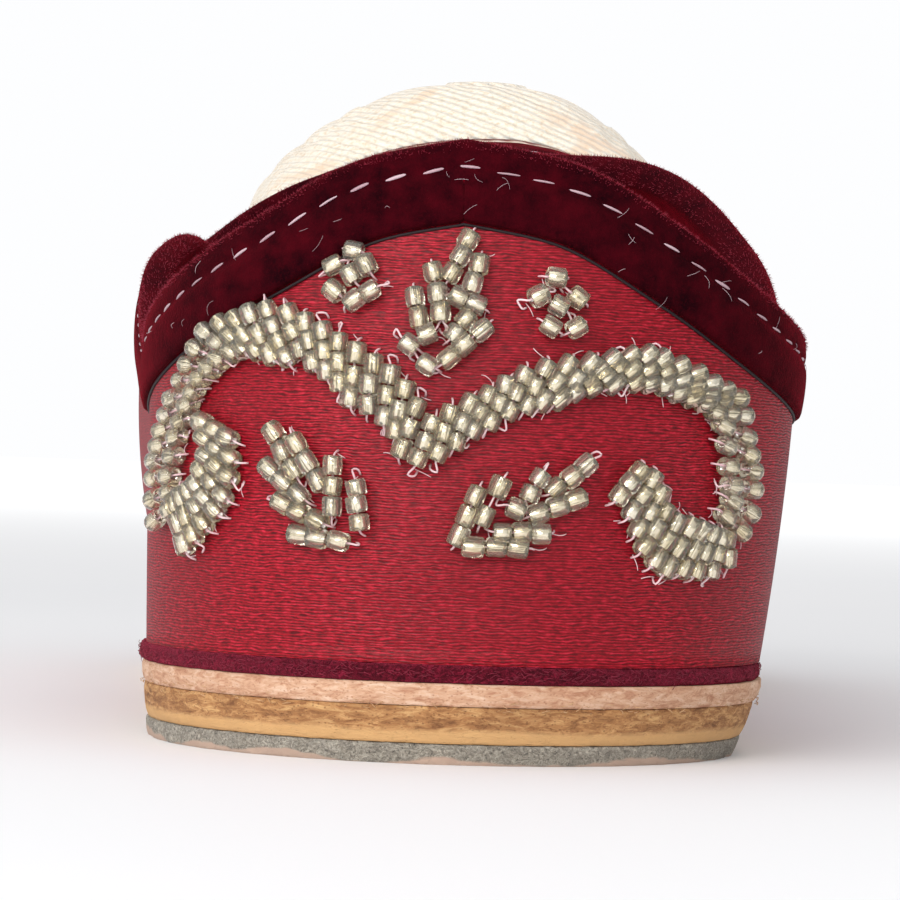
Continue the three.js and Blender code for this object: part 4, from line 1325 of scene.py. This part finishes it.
def vamp_pattern(girth, y):
    """Height of the raised pattern: a round flower with petals inside rows of scallops."""
    away = np.hypot(girth, y - FLOWER_AT)
    turn = np.arctan2(girth, y - FLOWER_AT)
    within = clamp01((away - FLOWER_HEART) / (FLOWER_EDGE - FLOWER_HEART))
    petals = (0.5 + 0.5 * np.cos(8 * turn)) * np.sin(np.pi * within)
    scallops = 0.5 + 0.5 * np.cos(away * 1.1 + 1.6 * np.cos(12 * turn))
    return np.where(away < FLOWER_HEART, 0.9, np.where(away < FLOWER_EDGE, petals, scallops))


# Materials

SATIN_ROW = 0.0003


def satin_material():
    """Satin: fine rows of short bright floats with dark gaps between, the brightness a painted highlight and the dark
    gaps painted shade; soft worn patches over them.
    """
    s = Shader("satin")
    lay = s.coords.outputs["UV"]
    drift = s.math("MULTIPLY", s.noise(s.mapped(lay, (300.0, 800.0, 1.0)), 1.0, 3.0), 0.0007)
    bend = s.add("ShaderNodeVectorMath", {0: lay, 1: drift}, operation="ADD").outputs["Vector"]
    up = s.add("ShaderNodeSeparateXYZ", {"Vector": bend}).outputs["Y"]
    rows = s.math("MULTIPLY", s.math("SINE", s.math("MULTIPLY", up, 2 * math.pi / SATIN_ROW)), 0.5)
    floats = s.noise(s.mapped(bend, (950.0, 3400.0, 1.0)), 1.0, 2.0, 0.7)
    fine = s.noise(s.mapped(lay, (1500.0, 7000.0, 1.0)), 1.0, 2.0)
    worn = s.noise(s.at(), 70.0, 4.0, 0.6)
    thread = s.math("ADD", s.math("MULTIPLY", rows, 0.3), floats)
    # The ramp paints light into the colour: a painted highlight on the bright floats, painted shade in the dark gaps.
    red_with_painted_light = s.ramp(thread, (0.3, rgb(82, 0, 9)), (0.46, rgb(130, 2, 20)), (0.6, rgb(162, 8, 31)),
                 (0.78, rgb(206, 38, 62)))
    red_with_painted_light = s.mix(s.ramp(worn, (0.3, 0.4), (0.65, 0.0)), red_with_painted_light, rgb(112, 2, 18))
    height = s.math("ADD", thread, s.math("MULTIPLY", fine, 0.3))
    return s.surface({
        "Base Color": red_with_painted_light, "Roughness": s.ramp(fine, (0.3, 0.5), (0.7, 0.36)), "Specular IOR Level": 0.24,
        "Anisotropic": 0.5, "Normal": s.bump(height, 0.00012, 0.7),
    })


def lining_material():
    s = Shader("lining")
    warp = s.wave(s.at(), 620.0, 1.5, 2.0, "Z")
    weft = s.wave(s.at(), 620.0, 1.5, 2.0, "Y")
    cloth = s.math("MULTIPLY", warp, weft)
    colour = s.ramp(s.noise(s.at(), 120.0), (0.3, rgb(96, 12, 28)), (0.7, rgb(136, 24, 44)))
    return s.surface({"Base Color": colour, "Roughness": 0.85, "Normal": s.bump(cloth, 0.00012, 0.7)})


def velvet_material(name, dark, light, tint):
    s = Shader(name)
    nap = s.noise(s.at(), 420.0, 5.0, 0.65)
    pile = s.noise(s.at(), 3800.0, 2.0, 0.7)
    crush = s.noise(s.at((1.0, 1.0, 2.2)), 110.0, 3.0, 0.5, 0.6)
    colour = s.ramp(s.weighed(nap, 0.55, crush, 0.45), (0.36, dark), (0.66, light))
    colour = s.mix(s.ramp(pile, (0.5, 0.0), (0.8, 0.5)), colour, light)
    height = s.weighed(pile, 0.6, nap, 0.8)
    return s.surface({
        "Base Color": colour, "Roughness": 0.95, "Specular IOR Level": 0.05, "Sheen Weight": 0.7,
        "Sheen Roughness": 0.26, "Sheen Tint": tint, "Normal": s.bump(height, 0.00022, 0.85),
    })


def toned_material(name, dark, light, roughness, sheen=0.0):
    """A fibre material whose tone changes from strand to strand."""
    s = Shader(name)
    tone = s.tone()
    grain = s.noise(s.at(), 2600.0, 2.0)
    colour = s.mix(s.math("MULTIPLY", s.math("ADD", tone, grain), 0.5), dark, light)
    return s.surface({
        "Base Color": colour, "Roughness": roughness, "Sheen Weight": sheen, "Sheen Tint": light,
        "Normal": s.bump(grain, 0.00004, 0.5),
    })


def glass_material():
    s = Shader("champagne_glass")
    tone = s.tone()
    stain = s.noise(s.at(), 900.0, 2.0)
    colour = s.mix(tone, rgb(255, 248, 230), rgb(252, 241, 212))
    return s.surface({
        "Base Color": colour, "Roughness": s.ramp(stain, (0.4, 0.02), (0.8, 0.09)), "IOR": 1.42,
        "Specular IOR Level": 0.4, "Transmission Weight": 0.9, "Normal": s.bump(stain, 0.00003, 0.35),
    })


def silver_material():
    """Silver in the beads, with painted reflections: dark and bright streaks along each hole."""
    s = Shader("silver_lining")
    tone = s.tone()
    lay = s.mapped(s.coords.outputs["UV"], (9.0, 0.5, 1.0))
    apart = s.math("MULTIPLY", tone, 60.0)
    own = s.add("ShaderNodeVectorMath", {0: lay, 1: apart}, operation="ADD").outputs["Vector"]
    reflection_streak = s.noise(own, 1.0, 2.0, 0.6)
    wear = s.noise(s.at(), 1500.0, 3.0)
    # Painted reflection: dark and bright streaks in the base colour, up to a near-white painted highlight.
    colour = s.ramp(reflection_streak, (0.34, rgb(140, 132, 112)), (0.44, rgb(232, 226, 208)), (0.56, rgb(255, 254, 250)))
    colour = s.mix(s.ramp(wear, (0.5, 0.0), (0.72, 0.25)), colour, rgb(190, 180, 152))
    return s.surface({
        "Base Color": colour, "Metallic": 1.0, "Roughness": s.ramp(wear, (0.35, 0.14), (0.75, 0.3)),
        "Normal": s.bump(reflection_streak, 0.00006, 0.5),
    })


def leather_material(name, dark, middle, light, strand, depth, band=None):
    """Cut leather edge: short fibres and pits along the layer, and a smooth pale band below a height if given."""
    s = Shader(name)
    lay = s.noise(s.at((420.0, 420.0, 1500.0)), 1.0, 6.0, 0.7, 0.8)
    pits = s.voronoi(s.at((1.0, 1.0, 1.6)), 2100.0)
    stain = s.noise(s.at((1.0, 1.0, 2.5)), 60.0, 4.0, 0.6)
    thin = s.noise(s.at((900.0, 900.0, 4200.0)), 1.0, 4.0, 0.75, 1.2)
    colour = s.ramp(lay, (0.34, dark), (0.5, middle), (0.66, light))
    colour = s.mix(s.ramp(stain, (0.35, 0.3), (0.6, 0.0)), colour, dark)
    colour = s.mix(s.ramp(thin, (0.54, 0.0), (0.7, strand)), colour, light)
    colour = s.mix(s.ramp(pits, (0.1, 0.75), (0.32, 0.0)), colour, dark)
    if band is not None:
        level = s.weighed(s.level(), 1000.0 / 8.0, stain, 0.14)
        colour = s.mix(s.ramp(level, (band, 0.85), (band + 0.07, 0.0)), colour, light)
    height = s.weighed(lay, 0.9, thin, 0.55)
    height = s.math("ADD", height, s.math("MULTIPLY", s.ramp(pits, (0.0, 0.0), (0.3, 1.0)), 0.35))
    return s.surface({"Base Color": colour, "Roughness": 0.82, "Normal": s.bump(height, depth, 1.0)})


def suede_material():
    """Grey split suede of the heel lift, with its pinkish skin left along the lower edge."""
    s = Shader("grey_split")
    wool = s.noise(s.at((1.0, 1.0, 1.4)), 1500.0, 6.0, 0.8, 1.6)
    specks = s.noise(s.at(), 3600.0, 2.0, 0.6)
    clumps = s.noise(s.at((1.0, 1.0, 1.4)), 300.0, 4.0, 0.6)
    peel = s.noise(s.at((1.0, 1.0, 2.6)), 75.0, 5.0, 0.55)
    colour = s.ramp(wool, (0.34, rgb(96, 90, 80)), (0.5, rgb(164, 156, 142)), (0.64, rgb(222, 214, 198)))
    colour = s.mix(s.ramp(clumps, (0.35, 0.35), (0.6, 0.0)), colour, rgb(110, 102, 92))
    colour = s.mix(s.ramp(specks, (0.3, 0.8), (0.42, 0.0)), colour, rgb(52, 46, 42))
    level = s.weighed(s.level(), 1000.0 / 3.0, s.math("SUBTRACT", 0.5, peel), 1.5)
    colour = s.mix(s.ramp(level, (0.12, 1.0), (0.2, 0.0)), colour, rgb(208, 178, 158))
    height = s.weighed(wool, 1.0, clumps, 0.7)
    return s.surface({
        "Base Color": colour, "Roughness": 0.95, "Sheen Weight": 0.15, "Normal": s.bump(height, 0.00034, 1.0),
    })


def felt_material():
    s = Shader("rand_felt")
    wool = s.noise(s.at((1.0, 1.0, 1.3)), 1400.0, 6.0, 0.75, 1.5)
    clumps = s.noise(s.at(), 330.0, 4.0)
    colour = s.ramp(wool, (0.36, rgb(40, 2, 12)), (0.5, rgb(88, 10, 28)), (0.66, rgb(150, 34, 60)))
    colour = s.mix(s.ramp(clumps, (0.3, 0.5), (0.6, 0.0)), colour, rgb(60, 8, 22))
    height = s.math("ADD", wool, clumps)
    return s.surface({
        "Base Color": colour, "Roughness": 0.95, "Specular IOR Level": 0.15, "Sheen Weight": 0.8,
        "Sheen Roughness": 0.4, "Sheen Tint": rgb(200, 70, 96), "Normal": s.bump(height, 0.00035, 1.0),
    })


def needlework_material():
    """Cream and old-gold coiled thread, laid in rows that turn with the pattern; its near-white brightness is partly
    painted highlight.
    """
    s = Shader("cream_needlework")
    coil = s.wave(s.at(turn=(0.3, 0.5, 0.9)), 330.0, 2.2, 2.0, "DIAGONAL")
    twist = s.noise(s.at(), 1300.0, 4.0, 0.7)
    motif = s.noise(s.at(), 95.0, 2.0, 0.5, 0.8)
    # Cream thread colour, its near-white upper end partly painted highlight.
    colour = s.ramp(twist, (0.3, rgb(226, 202, 170)), (0.5, rgb(246, 234, 214)), (0.75, rgb(253, 249, 240)))
    colour = s.mix(s.ramp(motif, (0.55, 0.0), (0.66, 0.6)), colour, rgb(240, 204, 170))
    height = s.math("ADD", coil, s.math("MULTIPLY", twist, 0.5))
    return s.surface({
        "Base Color": colour, "Roughness": s.ramp(twist, (0.4, 0.6), (0.8, 0.35)), "Sheen Weight": 0.3,
        "Normal": s.bump(height, 0.0003, 0.8),
    })


def cover_material():
    s = Shader("insole_cover")
    grain = s.voronoi(s.at(), 620.0)
    stain = s.noise(s.at(), 45.0, 4.0)
    colour = s.ramp(stain, (0.3, rgb(188, 158, 122)), (0.6, rgb(216, 190, 154)))
    colour = s.mix(s.ramp(grain, (0.0, 0.4), (0.3, 0.0)), colour, rgb(150, 118, 84))
    return s.surface({"Base Color": colour, "Roughness": 0.6, "Normal": s.bump(grain, 0.0002, 0.6)})


def floor_material():
    """Pale floor that grows as bright as the sky far from the shoe, so that no edge shows behind it."""
    s = Shader("studio_floor")
    cloud = s.noise(s.at(), 3.0, 2.0)
    colour = s.ramp(cloud, (0.3, (0.93, 0.93, 0.945, 1)), (0.7, (0.955, 0.95, 0.96, 1)))
    away = s.add("ShaderNodeVectorMath", {0: s.at((1, 1, 0.0))}, operation="LENGTH").outputs["Value"]
    far = s.ramp(s.math("MULTIPLY", away, 0.5), (0.15, 0.0), (0.75, 1.0))
    return s.surface({
        "Base Color": s.mix(far, colour, (0, 0, 0, 1)), "Roughness": 0.55, "Specular IOR Level": 0.1,
        "Emission Color": SKY_COLOUR, "Emission Strength": far,
    })


# Build

sole = {
    "suede": suede_material(),
    "tan": leather_material("tan_leather", rgb(122, 78, 44), rgb(176, 124, 76), rgb(218, 172, 116),
                            0.45, 0.0002, 0.46),
    "beige": leather_material("beige_leather", rgb(176, 122, 92), rgb(214, 170, 138), rgb(234, 202, 176),
                              0.4, 0.00014),
    "felt": felt_material(),
}

make_upper(satin_material(), lining_material())
make_binding(velvet_material("maroon_velvet", rgb(26, 0, 5), rgb(70, 3, 14), rgb(176, 14, 40)))
# The pile hairs are coloured lighter than the velvet they stand on: partly a painted highlight along the rim.
make_pile(toned_material("velvet_pile", rgb(96, 8, 28), rgb(168, 34, 62), 0.7, 0.8),
          toned_material("lint", rgb(150, 110, 120), rgb(226, 206, 210), 0.7))
make_stitches(toned_material("stitch_thread", rgb(160, 122, 132), rgb(212, 186, 194), 0.5))
make_band_edge_line(toned_material("band_edge_dark", rgb(10, 1, 4), rgb(34, 4, 12), 0.7))
make_vamp(needlework_material())
make_beads(glass_material(), silver_material(), toned_material("nylon", rgb(226, 176, 184), rgb(248, 226, 228), 0.35))
make_sole(sole)
make_fibres(toned_material("felt_fibre", rgb(84, 10, 30), rgb(150, 34, 62), 0.8, 0.6),
            toned_material("leather_fibre", rgb(160, 110, 66), rgb(226, 190, 148), 0.8),
            toned_material("gold_fibre", rgb(206, 170, 116), rgb(236, 212, 164), 0.4))
make_insole(cover_material())
make_studio(floor_material())
make_camera()
bpy.context.scene.view_settings.view_transform = "Standard"
